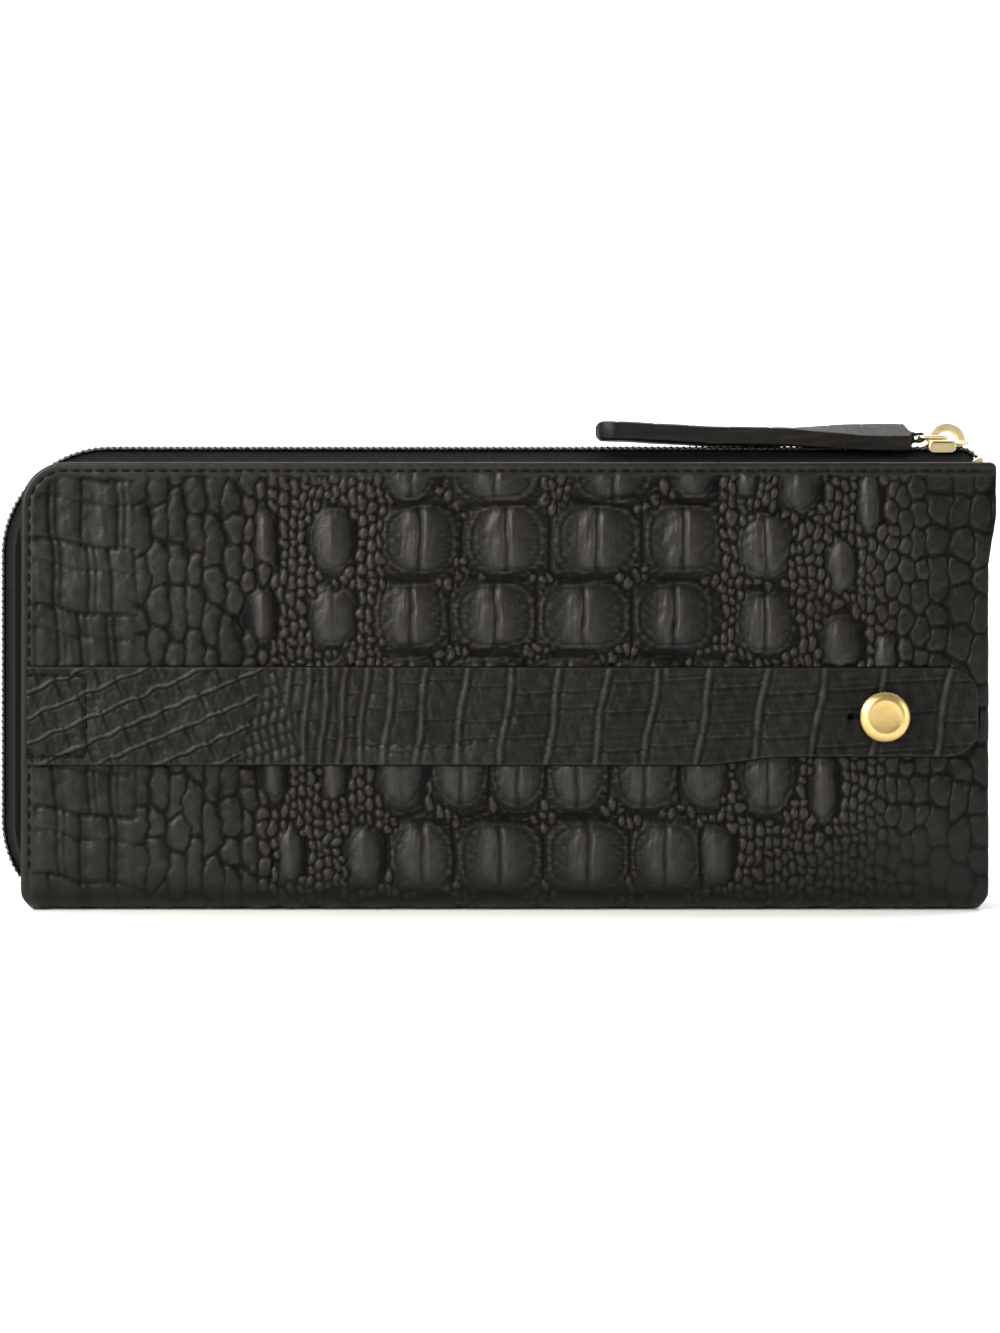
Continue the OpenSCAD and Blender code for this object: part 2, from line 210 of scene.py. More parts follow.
# ---------------------------------------------------------------- materials
class Nodes:
    """A short way to write a node material."""

    def __init__(self, name, **shader):
        self.material = bpy.data.materials.new(name)
        self.material.use_nodes = True
        self.tree = self.material.node_tree
        self.shader = self.tree.nodes["Principled BSDF"]
        for key, value in shader.items():
            self.shader.inputs[key.replace("_", " ")].default_value = value

    def add(self, kind, inputs=None, **settings):
        node = self.tree.nodes.new("ShaderNode" + kind)
        for key, value in settings.items():
            setattr(node, key, value)
        for key, value in (inputs or {}).items():
            self.set(node.inputs[key], value)
        return node

    def set(self, socket, value):
        if isinstance(value, bpy.types.NodeSocket):
            self.tree.links.new(value, socket)
        else:
            socket.default_value = value

    def place(self):
        return self.add("TexCoord").outputs["Object"]

    def stretched(self, scale):
        return self.add("Mapping", {"Vector": self.place(), "Scale": scale}).outputs["Vector"]

    def noise(self, scale, detail=4.0, roughness=0.55, vector=None):
        return self.add("TexNoise", {
            "Vector": vector or self.place(), "Scale": scale, "Detail": detail, "Roughness": roughness,
        }).outputs["Fac"]

    def cells(self, scale, feature="F1", vector=None):
        return self.add("TexVoronoi", {"Vector": vector or self.place(), "Scale": scale},
                        feature=feature).outputs["Distance"]

    def math(self, operation, a, b=0.0, clamp=False):
        node = self.add("Math", {0: a, 1: b}, operation=operation)
        node.use_clamp = clamp
        return node.outputs[0]

    def span(self, value, low, high, to_low, to_high):
        return self.add("MapRange", {
            "Value": value, "From Min": low, "From Max": high, "To Min": to_low, "To Max": to_high,
        }).outputs["Result"]

    def ramp(self, value, stops):
        node = self.add("ValToRGB", {"Fac": value})
        band = node.color_ramp
        while len(band.elements) < len(stops):
            band.elements.new(0.5)
        for element, (at, colour) in zip(band.elements, stops):
            element.position = at
            element.color = (*colour, 1.0)
        return node.outputs["Color"]

    def mix(self, factor, a, b):
        node = self.add("Mix", data_type="RGBA")
        self.set(node.inputs["Factor"], factor)
        self.set(node.inputs["A"], a)
        self.set(node.inputs["B"], b)
        return node.outputs["Result"]

    def attribute(self, name):
        return self.add("Attribute", attribute_name=name).outputs["Fac"]

    def bump(self, height, strength, distance):
        normal = self.add("Bump", {"Height": height, "Strength": strength, "Distance": distance * MM})
        self.set(self.shader.inputs["Normal"], normal.outputs["Normal"])

    def colour(self, value):
        self.set(self.shader.inputs["Base Color"], value)

    def rough(self, value):
        self.set(self.shader.inputs["Roughness"], value)


def croc_leather():
    """Embossed leather: painted shade in the grooves, lighter on the ridges from rubbing and painted
    highlight, with a fine grain.
    """
    n = Nodes("croc_leather")
    height = n.attribute("relief")
    n.set(n.shader.inputs["Specular IOR Level"], n.span(height, 0.30, 0.95, 0.07, 0.25))
    wear_and_highlight = n.attribute("wear_and_highlight")
    patch = n.noise(55.0, 3.0)
    grain = n.noise(2100.0, 3.0, 0.6)
    # painted shade in the grooves and painted highlight on the crests: the colour darkens with lower relief
    # and lightens with higher
    base = n.ramp(height, [
        (0.0, (0.0012, 0.0010, 0.0008)), (0.45, (0.0034, 0.0030, 0.0024)), (0.8, (0.0080, 0.0072, 0.0058)),
        (1.0, (0.0120, 0.0108, 0.0088)),
    ])
    # rubbing and painted highlight on the ridges and along the rounded rims, broken up by the grain
    rubbed_and_lit = n.span(n.math("ADD", wear_and_highlight, n.math("MULTIPLY", n.math("SUBTRACT", grain, 0.5), 0.8)),
                    0.30, 1.3, 0.0, 0.8)
    shaded_and_worn = n.mix(rubbed_and_lit, base, (0.024, 0.0215, 0.017, 1.0))
    n.colour(n.mix(n.span(patch, 0.4, 0.75, 0.0, 0.30), shaded_and_worn, (0.0070, 0.0055, 0.0038, 1.0)))
    n.rough(n.math("ADD", n.span(height, 0.2, 1.0, 0.42, 0.31), n.span(grain, 0.3, 0.7, -0.06, 0.08)))
    pores = n.cells(1900.0)
    n.bump(n.math("ADD", n.math("MULTIPLY", pores, 0.5), n.math("MULTIPLY", grain, 0.9)), 0.38, 0.12)
    return n.material


def edge_leather():
    """Embossed leather with dark painted edges, for the pull tab."""
    n = Nodes("tab_leather", Specular_IOR_Level=0.16)
    edge = n.attribute("edge")
    grain = n.noise(1500.0, 4.0, 0.6)
    creases = n.cells(330.0, "DISTANCE_TO_EDGE", n.stretched((1.0, 0.6, 0.6)))
    streak = n.noise(60.0, 5.0, 0.6, n.stretched((1.0, 6.0, 16.0)))
    face = n.ramp(n.math("ADD", n.math("MULTIPLY", grain, 0.5), n.math("MULTIPLY", creases, 1.2)),
                  [(0.22, (0.0025, 0.0022, 0.0018)), (0.75, (0.022, 0.0185, 0.0140))])
    paint = n.ramp(streak, [(0.3, (0.0025, 0.0022, 0.0020)), (0.6, (0.0075, 0.0065, 0.0055)),
                            (0.8, (0.026, 0.018, 0.012))])
    n.colour(n.mix(edge, face, paint))
    n.rough(n.math("SUBTRACT", n.span(grain, 0.3, 0.7, 0.52, 0.66), n.math("MULTIPLY", edge, 0.24)))
    lines = n.math("ADD", n.math("MULTIPLY", streak, 1.2), creases)
    n.bump(n.math("ADD", n.math("MULTIPLY", grain, 0.5), lines), 0.5, 0.2)
    return n.material


def woven(name, dark, light, threads, strength=0.6):
    """Plain weave: two crossed waves of threads."""
    n = Nodes(name, Specular_IOR_Level=0.07)
    along = n.add("TexWave", {"Vector": n.place(), "Scale": threads, "Distortion": 1.2, "Detail": 2.0},
                  bands_direction="X").outputs["Fac"]
    across = n.add("TexWave", {"Vector": n.place(), "Scale": threads, "Distortion": 1.2, "Detail": 2.0},
                   bands_direction="Z").outputs["Fac"]
    weave = n.math("MULTIPLY", n.math("ADD", along, across), 0.5)
    fuzz = n.noise(900.0, 4.0)
    mixed = n.math("ADD", n.math("MULTIPLY", weave, 0.7), n.math("MULTIPLY", fuzz, 0.3))
    n.colour(n.ramp(mixed, [(0.2, dark), (0.8, light)]))
    n.rough(n.span(fuzz, 0.2, 0.8, 0.75, 0.95))
    n.bump(mixed, strength, 0.2)
    return n.material


def nylon():
    """Black nylon of the zip coil."""
    n = Nodes("zip_nylon", Specular_IOR_Level=0.7)
    speck = n.noise(700.0, 3.0)
    n.colour(n.ramp(speck, [(0.3, (0.003, 0.003, 0.003)), (0.75, (0.010, 0.0095, 0.009))]))
    n.rough(n.span(speck, 0.3, 0.7, 0.20, 0.32))
    n.bump(speck, 0.2, 0.05)
    return n.material


def metal(name, dark, light, rough_low, rough_high, scratch_scale):
    """Plated metal with faint brushing and smudges."""
    n = Nodes(name, Metallic=1.0)
    smudge = n.noise(220.0, 4.0)
    brushed = n.noise(scratch_scale, 5.0, 0.65, n.stretched((1.0, 1.0, 14.0)))
    n.colour(n.mix(smudge, (*dark, 1.0), (*light, 1.0)))
    n.rough(n.span(n.math("ADD", n.math("MULTIPLY", smudge, 0.6), n.math("MULTIPLY", brushed, 0.4)),
                   0.35, 0.65, rough_low, rough_high))
    n.bump(brushed, 0.12, 0.03)
    return n.material


def thread():
    """Twisted dark sewing thread."""
    n = Nodes("thread", Specular_IOR_Level=0.08)
    twist = n.add("TexWave", {"Vector": n.place(), "Scale": 1400.0, "Distortion": 0.5},
                  bands_direction="DIAGONAL").outputs["Fac"]
    n.colour(n.ramp(twist, [(0.1, (0.0015, 0.0013, 0.0012)), (0.9, (0.007, 0.006, 0.005))]))
    n.rough(n.span(twist, 0.0, 1.0, 0.6, 0.8))
    n.bump(twist, 0.5, 0.08)
    return n.material


def coil_thread():
    """Dark grey thread that sews the coil to its tape."""
    n = Nodes("coil_thread", Specular_IOR_Level=0.2)
    n.colour(n.ramp(n.noise(800.0), [(0.3, (0.022, 0.022, 0.020)), (0.7, (0.075, 0.073, 0.067))]))
    n.rough(0.5)
    return n.material


def board():
    """Grey board stiffener."""
    n = Nodes("board")
    fibre = n.noise(500.0, 6.0, 0.7)
    n.colour(n.ramp(fibre, [(0.3, (0.12, 0.10, 0.08)), (0.7, (0.28, 0.25, 0.20))]))
    n.rough(n.span(fibre, 0.3, 0.7, 0.8, 0.95))
    n.bump(fibre, 0.4, 0.1)
    return n.material


def inner_leather():
    """Smooth matt leather of the inside."""
    n = Nodes("inner_leather", Specular_IOR_Level=0.25)
    grain = n.cells(900.0)
    patch = n.noise(90.0, 4.0)
    n.colour(n.ramp(n.math("ADD", n.math("MULTIPLY", grain, 0.5), n.math("MULTIPLY", patch, 0.6)),
                    [(0.2, (0.007, 0.006, 0.005)), (0.8, (0.026, 0.022, 0.018))]))
    n.rough(n.span(patch, 0.3, 0.7, 0.5, 0.65))
    n.bump(grain, 0.5, 0.12)
    return n.material


CROC = croc_leather()
TAB_LEATHER = edge_leather()
INNER = inner_leather()
TAPE = woven("zip_tape_weave", (0.0008, 0.0008, 0.0008), (0.0045, 0.0045, 0.0043), 900.0, 1.0)
LINING = woven("lining_twill", (0.010, 0.010, 0.011), (0.036, 0.034, 0.034), 650.0)
NYLON = nylon()
GOLD = metal("gold_plate", (0.74, 0.58, 0.30), (0.90, 0.76, 0.47), 0.24, 0.42, 90.0)
BRASS = metal("brass_plate", (0.54, 0.38, 0.13), (0.74, 0.56, 0.25), 0.26, 0.44, 60.0)
THREAD = thread()
COIL_THREAD = coil_thread()
BOARD = board()


# ---------------------------------------------------------------- the hide: one relief for the whole shell
# The shell is one sheet: s is the height on the front cover, and runs on below FOLD_Z
# round the spine and up the back cover.
STEP = 0.25
DEPTH = BACK_Y - FRONT_Y
SPINE_LENGTH = 2 * (FOLD_Z - FOLD_R) + math.pi * FOLD_R + (DEPTH - 2 * FOLD_R)
S_BACK = FOLD_Z - SPINE_LENGTH
S_END = S_BACK - (TOP - FOLD_Z)
TILE_X = -82.0
TILE_ROW = 14.8
TILE_FIRST = 81.0
DROOP_X, DROOP = 40.0, 0.0052
SUNK = 0.25
LARGE_WINS = 0.80

# rows of large scutes on the front: middle height, half height, then centre and width of each
SCUTE_ROWS = [
    (98.5, 8.3, [(-21.5, 12), (-3, 19), (23, 17), (41, 10), (52.5, 5), (64.5, 10), (79.5, 5.5)]),
    (82.0, 7.6, [(-53.5, 6), (-38.5, 10.5), (-19.5, 16.5), (-0.5, 17), (19.5, 18.5), (38.5, 16.5),
                 (56.5, 12), (73.5, 7)]),
    (65.2, 7.3, [(-54, 6.5), (-38.5, 11), (-21.5, 15.5), (-3, 17.5), (16.5, 20), (36.5, 17),
                 (56.5, 13), (73.5, 9.5), (83, 5.5)]),
    (48.5, 7.5, [(-52, 6), (-38, 9), (-22, 14), (-5, 17), (13, 18), (31, 16), (47, 13), (62, 9)]),
    (32.0, 9.6, [(-51.5, 5.5), (-38.5, 6.5), (-23.5, 11), (-10.5, 12), (2, 12), (15, 13),
                 (30, 13.5), (43.5, 11), (57, 12), (69.5, 6)]),
    (12.3, 7.6, [(-48, 6.5), (-31.5, 9), (-19, 13), (-2, 18), (17.5, 18), (34.5, 15), (46, 8)]),
]


def ridge_wear_and_highlight(field):
    """Rubbing and painted highlight on the ridges: how far each point stands above its surroundings."""
    return np.clip((field - blur(field, 3)) / 0.16, 0, 1.4)


def scutes():
    """Large cells: centre x, centre s, half width, half height."""
    cells = []
    for middle, half, row in SCUTE_ROWS:
        for x, width in row:
            droop = DROOP * max(0.0, x - DROOP_X) ** 2
            tall = half * min(1.0, 0.72 + 0.02 * width)
            cells.append((x, middle - droop, width / 2, tall))
    # the same kind of rows go on round the spine and up the back
    middle = -5.0
    while middle > S_END - 8:
        x = -56.0 + rng.uniform(-3, 3)
        while x < 78:
            width = 6.0 + 12.5 * float(bell((x - 12) / 46)) + rng.uniform(-1, 1)
            x += width / 2
            height = middle + rng.uniform(-0.6, 0.6)
            cells.append((x, height, width / 2 * 0.97, 7.2 + rng.uniform(-0.4, 0.4)))
            x += width / 2 + 0.5
        middle -= 16.0
    return cells


def pebble_size(x):
    """Width and height of the small cells at x."""
    left = float(smooth((x + 63) / 14))
    right = float(smooth((x - 76) / 22))
    width = 4.0 + (1.9 - 4.0) * left + 2.9 * right
    height = 9.5 + (2.8 - 9.5) * left + 5.0 * right
    return width, height


def small_cells(large):
    """Columns of small cells between and around the large ones."""
    big = np.array(large)
    cells = []
    x = TILE_X + 1.0
    while x < RIGHT + 3:
        width, height = pebble_size(x)
        s = S_END - 4 + rng.uniform(0, height)
        while s < TOP + 4:
            tall = height * rng.uniform(0.65, 1.35)
            cx, cs = x + rng.uniform(-0.15, 0.15) * width, s + tall / 2
            inside = np.min((np.abs(cx - big[:, 0]) / big[:, 2]) ** 2.4
                            + (np.abs(cs - big[:, 1]) / big[:, 3]) ** 2.4)
            crowded = -27 < cx < 47 and cs > -16
            if inside > (1.50 if crowded else 1.12):
                cells.append((cx, cs, width * 0.52, tall * 0.52))
            s += tall
        x += width
    return cells


def nearest_two(cells, large_count, warped, straight, xs, ss):
    """For each sample, the two nearest cells by elliptic distance: their distances and numbers.

    The large cells win over the small ones round them, so that their outline stays a clean oval."""
    first = np.full(warped[0].shape, 9.0)
    second = np.full(warped[0].shape, 9.0)
    own = np.zeros(warped[0].shape, int)
    other = np.zeros(warped[0].shape, int)
    for i, (cx, cs, half_w, half_h) in enumerate(cells):
        reach_x, reach_s = 2.6 * half_w + 1.5, 2.6 * half_h + 1.5
        a, b = np.searchsorted(xs, (cx - reach_x, cx + reach_x))
        c, d = np.searchsorted(ss, (cs - reach_s, cs + reach_s))
        if a >= b or c >= d:
            continue
        view = (slice(c, d), slice(a, b))
        x, s = straight if i < large_count else warped
        power = 2.0 if i >= large_count else 2.0 + 0.9 * float(smooth((half_w - 5.5) / 2.0))
        part_x = np.abs((x[view] - cx) / half_w) ** power
        part_s = np.abs((s[view] - cs) / half_h) ** power
        away = (part_x + part_s) ** (1 / power)
        away = away * (LARGE_WINS if i < large_count else 1.0)
        closer = away < first[view]
        nearer = ~closer & (away < second[view])
        second[view] = np.where(closer, first[view], np.where(nearer, away, second[view]))
        other[view] = np.where(closer, own[view], np.where(nearer, i, other[view]))
        first[view] = np.where(closer, away, first[view])
        own[view] = np.where(closer, i, own[view])
    return first, second, own, other


def tile_height(x, s):
    """Rectangular tiles on the left: strong grooves across, finer ones between, uneven grooves down."""
    lean = s + 0.13 * (x + 94) + 0.35 * np.sin(x / 3.1)
    row = (TILE_FIRST - lean) / TILE_ROW
    number = np.floor(row)
    part = row - number
    near = np.minimum(part, 1 - part) * TILE_ROW
    height = -0.50 * bell(near / 0.42)
    height -= 0.24 * bell((part - 0.36) * TILE_ROW / 0.42)
    for k, at in enumerate((-100.2, -93.6, -87.2, -80.9)):
        shift = 1.1 * np.sin(2.1 * number + 1.7 * k) + 0.25 * np.sin(s / 2.9 + k) + 0.5 * (part - 0.5)
        away = x - at - shift
        height -= 0.34 * bell(away / 0.30)
        height -= 0.22 * bell((away - 1.7) / 0.33) * smooth(1.2 * np.sin(3.3 * number + 2.9 * k) + 0.6)
        height -= 0.05 * away * smooth((away + 6) / 3) * smooth((2.5 - away) / 3)
    return height + 0.06 * waves(x, s, 6.0, 5) + 0.02 * waves(x * 1.8, s * 0.8, 2.6, 15)


def cell_height(cells, large_count, warped, straight, xs, ss):
    """Scutes with their ridges and rings, and domed pebbles between them."""
    first, second, own, other = nearest_two(cells, large_count, warped, straight, xs, ss)
    straight_x, s = straight
    table = np.array(cells)
    size = np.sqrt(table[:, 2] * table[:, 3])
    apart = (second - first) / (1 / size[own] + 1 / size[other])
    large = own < large_count
    groove = smooth(apart / np.where(large, 0.60, 0.40))
    first = first / np.where(large, LARGE_WINS, 1.0)
    dome = np.clip(1 - first ** 2, 0, 1)
    across = straight_x - table[own, 0]
    wide = table[own, 2]
    tall = np.abs(s - table[own, 1]) / table[own, 3]
    upright = np.clip(1 - tall ** 3.0, 0, 1)
    height = (groove - 1) * np.where(large, 0.46, 0.36)
    small_part = 0.30 * np.sqrt(dome) - 0.22
    # a keel like a roof on the narrow scutes, a pair of ridges with a groove between on the wide ones
    lean = 0.10 * wide
    roof = 1.05 * np.clip(1 - np.abs(across + lean) / wide, 0, 1) ** 0.9 - 0.42
    fine = 0.045 * waves(straight_x * 2.4, s * 0.35, 2.2, 9)
    left_side = np.where(across < -1.25, bell((across + 1.25) / 2.3), bell((across + 1.25) / 0.75))
    right_side = np.where(across > 1.15, bell((across - 1.15) / 2.6), bell((across - 1.15) / 0.65))
    pair = 0.60 * left_side + 0.50 * right_side - 0.22 * bell(across / 0.5)
    pair += fine * bell(across / 5.0) * 2.0
    fans = 0.09 * waves(straight_x * 0.8, s * 1.7, 1.7, 19, 9) * smooth((np.abs(across) / wide - 0.35) / 0.3)
    bulge = 0.30 * np.sqrt(dome)
    narrow = smooth((6.3 - wide) / 1.2)
    ring = 0.10 * bell((first - 0.95) / 0.045) - 0.13 * bell((first - 0.86) / 0.05)
    ridges = narrow * (roof + fine) * upright + (1 - narrow) * (pair * upright + fans)
    large_part = ridges + bulge + ring - 0.22
    return height + np.where(large, large_part, small_part)


def fold_height(x, s):
    """Long wavy creases between the rows of scutes."""
    reach = smooth((x + 48) / 12) * smooth((80 - x) / 8)
    droop = DROOP * np.clip(x - DROOP_X, 0, None) ** 2
    total = 0.0
    for k, at in enumerate((90.3, 73.6, 57.0, 41.5, 21.0, 3.0)):
        line = at + 0.9 * np.sin(x / 17 + 1.3 * k) + 0.3 * np.sin(x / 4.1 + k) - droop
        for shift, deep, wide in ((0.0, 0.30, 0.42), (0.95, 0.14, 0.26), (-0.9, 0.14, 0.26)):
            total = total - deep * bell((s - line - shift) / wide)
    return total * reach


def make_hide():
    """Height in millimetres of the whole sheet, on a regular raster."""
    xs = np.arange(LEFT - 1, RIGHT + 1.01, STEP)
    ss = np.arange(S_END - 1, TOP + 1.01, STEP)
    x, s = np.meshgrid(xs, ss)
    warped_x = x + 0.40 * waves(x, s, 11, 1) + 0.26 * waves(x, s, 4.5, 2)
    warped_s = s + 0.50 * waves(x, s, 13, 3) + 0.30 * waves(x, s, 4.5, 4)
    large = scutes()
    cells = large + small_cells(large)
    straight = (x + 0.15 * waves(x, s, 9, 8), s + 0.20 * waves(x, s, 10, 18))
    field = cell_height(cells, len(large), (warped_x, warped_s), straight, xs, ss)
    field += fold_height(warped_x, warped_s)
    tiles = tile_height(x, s + 0.25 * waves(x, s, 12, 17))
    join = smooth((x - TILE_X + 1.2) / 2.4)
    field = tiles * (1 - join) + field * join
    field += 0.028 * waves(x, s, 1.4, 6, 9) + 0.03 * waves(x, s, 3.0, 16, 9) + 0.08 * waves(x, s, 30, 7)
    # the fold and the lower right are worn almost smooth, the back a little
    front = smooth((s - 2.5) / 7.5)
    back = smooth((S_BACK - s - 1) / 8)
    keep = 0.25 + 0.75 * front + 0.65 * back
    keep *= 1 - 0.6 * smooth((x - 52) / 26) * bell(np.clip(s - 8, 0, None) / 12) * front
    field = field * np.clip(keep, 0, 1) - SUNK
    # the strap presses the ridges flat where it lies on the front
    pressed = smooth((s - 31.5) / 2) * smooth((55.0 - s) / 2) * smooth((x + 92) / 2)
    field = field * (1 - pressed) + np.minimum(field, 0.0) * pressed
    # rubbing and painted highlight on the ridges, weaker on the tiles
    wear_and_highlight = ridge_wear_and_highlight(field) * (0.25 + 0.75 * join)
    return xs, ss, field, wear_and_highlight


def look_up(raster, x, s):
    """Height, and the layer of rubbing and painted highlight, of the hide at any points, by linear
    interpolation.
    """
    xs, ss, field, wear_and_highlight = raster
    fx = np.clip((x - xs[0]) / STEP, 0, len(xs) - 1.001)
    fs = np.clip((s - ss[0]) / STEP, 0, len(ss) - 1.001)
    i, j = fx.astype(int), fs.astype(int)
    u, v = fx - i, fs - j
    found = []
    for layer in (field, wear_and_highlight):
        low = layer[j, i] * (1 - u) + layer[j, i + 1] * u
        high = layer[j + 1, i] * (1 - u) + layer[j + 1, i + 1] * u
        found.append(low * (1 - v) + high * v)
    return found


HIDE = make_hide()


# ---------------------------------------------------------------- leather shell
COLUMNS = 560
ROW_STEP = 0.56
EDGE_ROUND = 0.7
STRAP_ROUND = 0.5
SEAM_DEEP, SEAM_WIDE = 0.16, 0.5
FLAT_BAND = 2.3
SHELL_RELIEF = (0.85, 1.0, 0.2)
STRAP_RELIEF = (0.55, 0.95, 0.15)


def left_edge(z):
    over = np.clip(z - (TOP - CORNER_R), 0, CORNER_R)
    return LEFT + CORNER_R - np.sqrt(CORNER_R ** 2 - over ** 2)


def right_edge(z):
    corner = 1.5
    over = np.clip(z - (TOP - corner), 0, corner)
    taper = TAPER_IN * smooth((TAPER_TOP - z) / (TAPER_TOP - TAPER_LOW))
    return RIGHT - taper - corner + np.sqrt(corner ** 2 - over ** 2)


def round_corner(x, z, elsewhere):
    """Distance inside the round corner where x and z are in it, and the given distance elsewhere."""
    cx, cz = LEFT + CORNER_R, TOP - CORNER_R
    in_corner = (x < cx) & (z > cz)
    return np.where(in_corner, CORNER_R - np.hypot(x - cx, z - cz), elsewhere)


def edge_distance(x, z):
    """Distance inside the outline of a cover."""
    away = np.minimum(TOP - z, right_edge(z) - x)
    return np.minimum(away, round_corner(x, z, x - LEFT))


def sewn_distance(x, z):
    """Distance inside the sewn edges, which are the top and the left."""
    return round_corner(x, z, np.minimum(x - LEFT, TOP - z))


def rim_drop(distance, radius):
    """How far a surface has fallen at a distance inside its edge, where it is rounded to the radius."""
    near = np.clip(distance, 0, radius)
    return radius - np.sqrt(radius ** 2 - (radius - near) ** 2)


def leather_layers(height, wear_and_highlight, total, low, span, rim_relief):
    """The two layers that the leather material reads; the rim and the inner face get plain values."""
    extra = total - height.size
    relief = np.clip((height.ravel() + low) / span, 0, 1)
    return {"relief": np.concatenate([relief, np.full(extra, rim_relief)]),
            "wear_and_highlight": np.concatenate([wear_and_highlight.ravel(), np.zeros(extra)])}


def finish_edges(height, wear_and_highlight, x, z):
    """Presses the relief flat at the sewn edges, sinks the stitch line, rounds the rim and paints a
    highlight along the sewn edges.
    """
    sewn = sewn_distance(x, z)
    keep = smooth((sewn - FLAT_BAND) / 1.4)
    height = height * (0.12 + 0.88 * keep) - SEAM_DEEP * bell((sewn - STITCH_IN) / SEAM_WIDE)
    # painted highlight on the smooth rounded margin along the sewn edges
    wear_and_highlight = wear_and_highlight * keep + 0.5 * bell((sewn - 0.75) / 0.5)
    return height - rim_drop(edge_distance(x, z), EDGE_ROUND), wear_and_highlight


def shell_from_grid(outer, inner, rows, cols):
    """Closes a grid of outer points with a rim and one flat inner face over its boundary."""
    index = np.arange(rows * cols).reshape(rows, cols)
    loop = boundary(index)
    start = rows * cols
    count = len(loop)
    points = np.concatenate([outer, inner[loop]])
    faces = grid_faces(rows, cols)
    for k in range(count):
        m = (k + 1) % count
        faces.append([int(loop[m]), int(loop[k]), start + k, start + m])
    faces.append([start + k for k in range(count)][::-1])
    rim = range(len(faces) - count - 1, len(faces))
    return points, faces, rim


def cover(name, body, node, front):
    """One embossed cover of the shell."""
    low = np.arange(FOLD_Z, TOP - 3.0, ROW_STEP)
    high = TOP - 3.0 * (1 - np.sin(np.linspace(0, math.pi / 2, 14)))
    z_rows = np.concatenate([low, high[1:]])
    share = np.linspace(0, 1, COLUMNS)
    z = np.repeat(z_rows[:, None], COLUMNS, 1)
    x = left_edge(z) + share[None, :] * (right_edge(z) - left_edge(z))
    s = z if front else S_BACK - (z - FOLD_Z)
    height, wear_and_highlight = look_up(HIDE, x, s)
    height, wear_and_highlight = finish_edges(height, wear_and_highlight, x, z)
    outward = -1 if front else 1
    face = FRONT_Y if front else BACK_Y
    outer = np.stack([x, face + outward * height, z], -1).reshape(-1, 3)
    inner = np.stack([x, np.full_like(x, face - outward * LEATHER_T), z], -1).reshape(-1, 3)
    points, faces, rim = shell_from_grid(outer, inner, len(z_rows), COLUMNS)
    if not front:
        faces = [f[::-1] for f in faces]
    layers = leather_layers(height, wear_and_highlight, len(points), *SHELL_RELIEF)
    piece = new_object(name, points, faces, CROC, rim, layers)
    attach(piece, body)
    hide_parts(node)
    return piece


def spine_place(s):
    """Point and outward direction, in Y and Z, at sheet height s round the spine."""
    run = FOLD_Z - s
    straight, quarter = FOLD_Z - FOLD_R, math.pi * FOLD_R / 2
    flat = DEPTH - 2 * FOLD_R
    if run <= straight:
        return FRONT_Y, FOLD_Z - run, -1.0, 0.0
    run -= straight
    if run <= quarter:
        a = run / FOLD_R
        c, d = math.cos(a), math.sin(a)
        return FRONT_Y + FOLD_R - FOLD_R * c, FOLD_R - FOLD_R * d, -c, -d
    run -= quarter
    if run <= flat:
        return FRONT_Y + FOLD_R + run, 0.0, 0.0, -1.0
    run -= flat
    if run <= quarter:
        a = run / FOLD_R
        c, d = math.cos(a), math.sin(a)
        return BACK_Y - FOLD_R + FOLD_R * d, FOLD_R - FOLD_R * c, d, -c
    run -= quarter
    return BACK_Y, FOLD_R + run, 1.0, 0.0


def spine():
    """The folded strip between the covers."""
    rows = int(SPINE_LENGTH / ROW_STEP) + 1
    s_rows = np.linspace(S_BACK, FOLD_Z, rows)
    share = np.linspace(0, 1, COLUMNS)
    places = np.array([spine_place(s) for s in s_rows])
    z_rows = places[:, 1]
    pinch = smooth((3.2 - z_rows) / 3.2)
    x_low = LEFT + 1.3 * pinch
    x_high = RIGHT - TAPER_IN - 1.0 * pinch
    x = x_low[:, None] + share[None, :] * (x_high - x_low)[:, None]
    s = np.repeat(s_rows[:, None], COLUMNS, 1)
    height, wear_and_highlight = look_up(HIDE, x, s)
    ends = np.minimum(x - x_low[:, None], x_high[:, None] - x)
    sewn = x - x_low[:, None]
    height = height * (0.12 + 0.88 * smooth((sewn - FLAT_BAND) / 1.4))
    height -= SEAM_DEEP * bell((sewn - STITCH_IN) / SEAM_WIDE) * smooth((z_rows - 2) / 4)[:, None]
    height -= rim_drop(ends, EDGE_ROUND)
    # no part of the sheet is lower than the surface on which it stands
    height = np.minimum(height, 0.02 + 0.1 * smooth((z_rows - 1) / 4)[:, None])
    y = places[:, 0:1] + places[:, 2:3] * height
    z = places[:, 1:2] + places[:, 3:4] * height
    y_in = places[:, 0:1] - places[:, 2:3] * LEATHER_T + 0 * x
    z_in = places[:, 1:2] - places[:, 3:4] * LEATHER_T + 0 * x
    outer = np.stack([x, y, z], -1).reshape(-1, 3)
    inner = np.stack([x, y_in, z_in], -1).reshape(-1, 3)
    faces = grid_faces(rows, COLUMNS)
    points, faces, rim = spine_shell(outer, inner, rows, faces)
    layers = leather_layers(height, wear_and_highlight, len(points), *SHELL_RELIEF)
    piece = new_object("spine_leather", points, faces, CROC, rim, layers)
    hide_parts("spine")
    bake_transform(piece)
    return piece


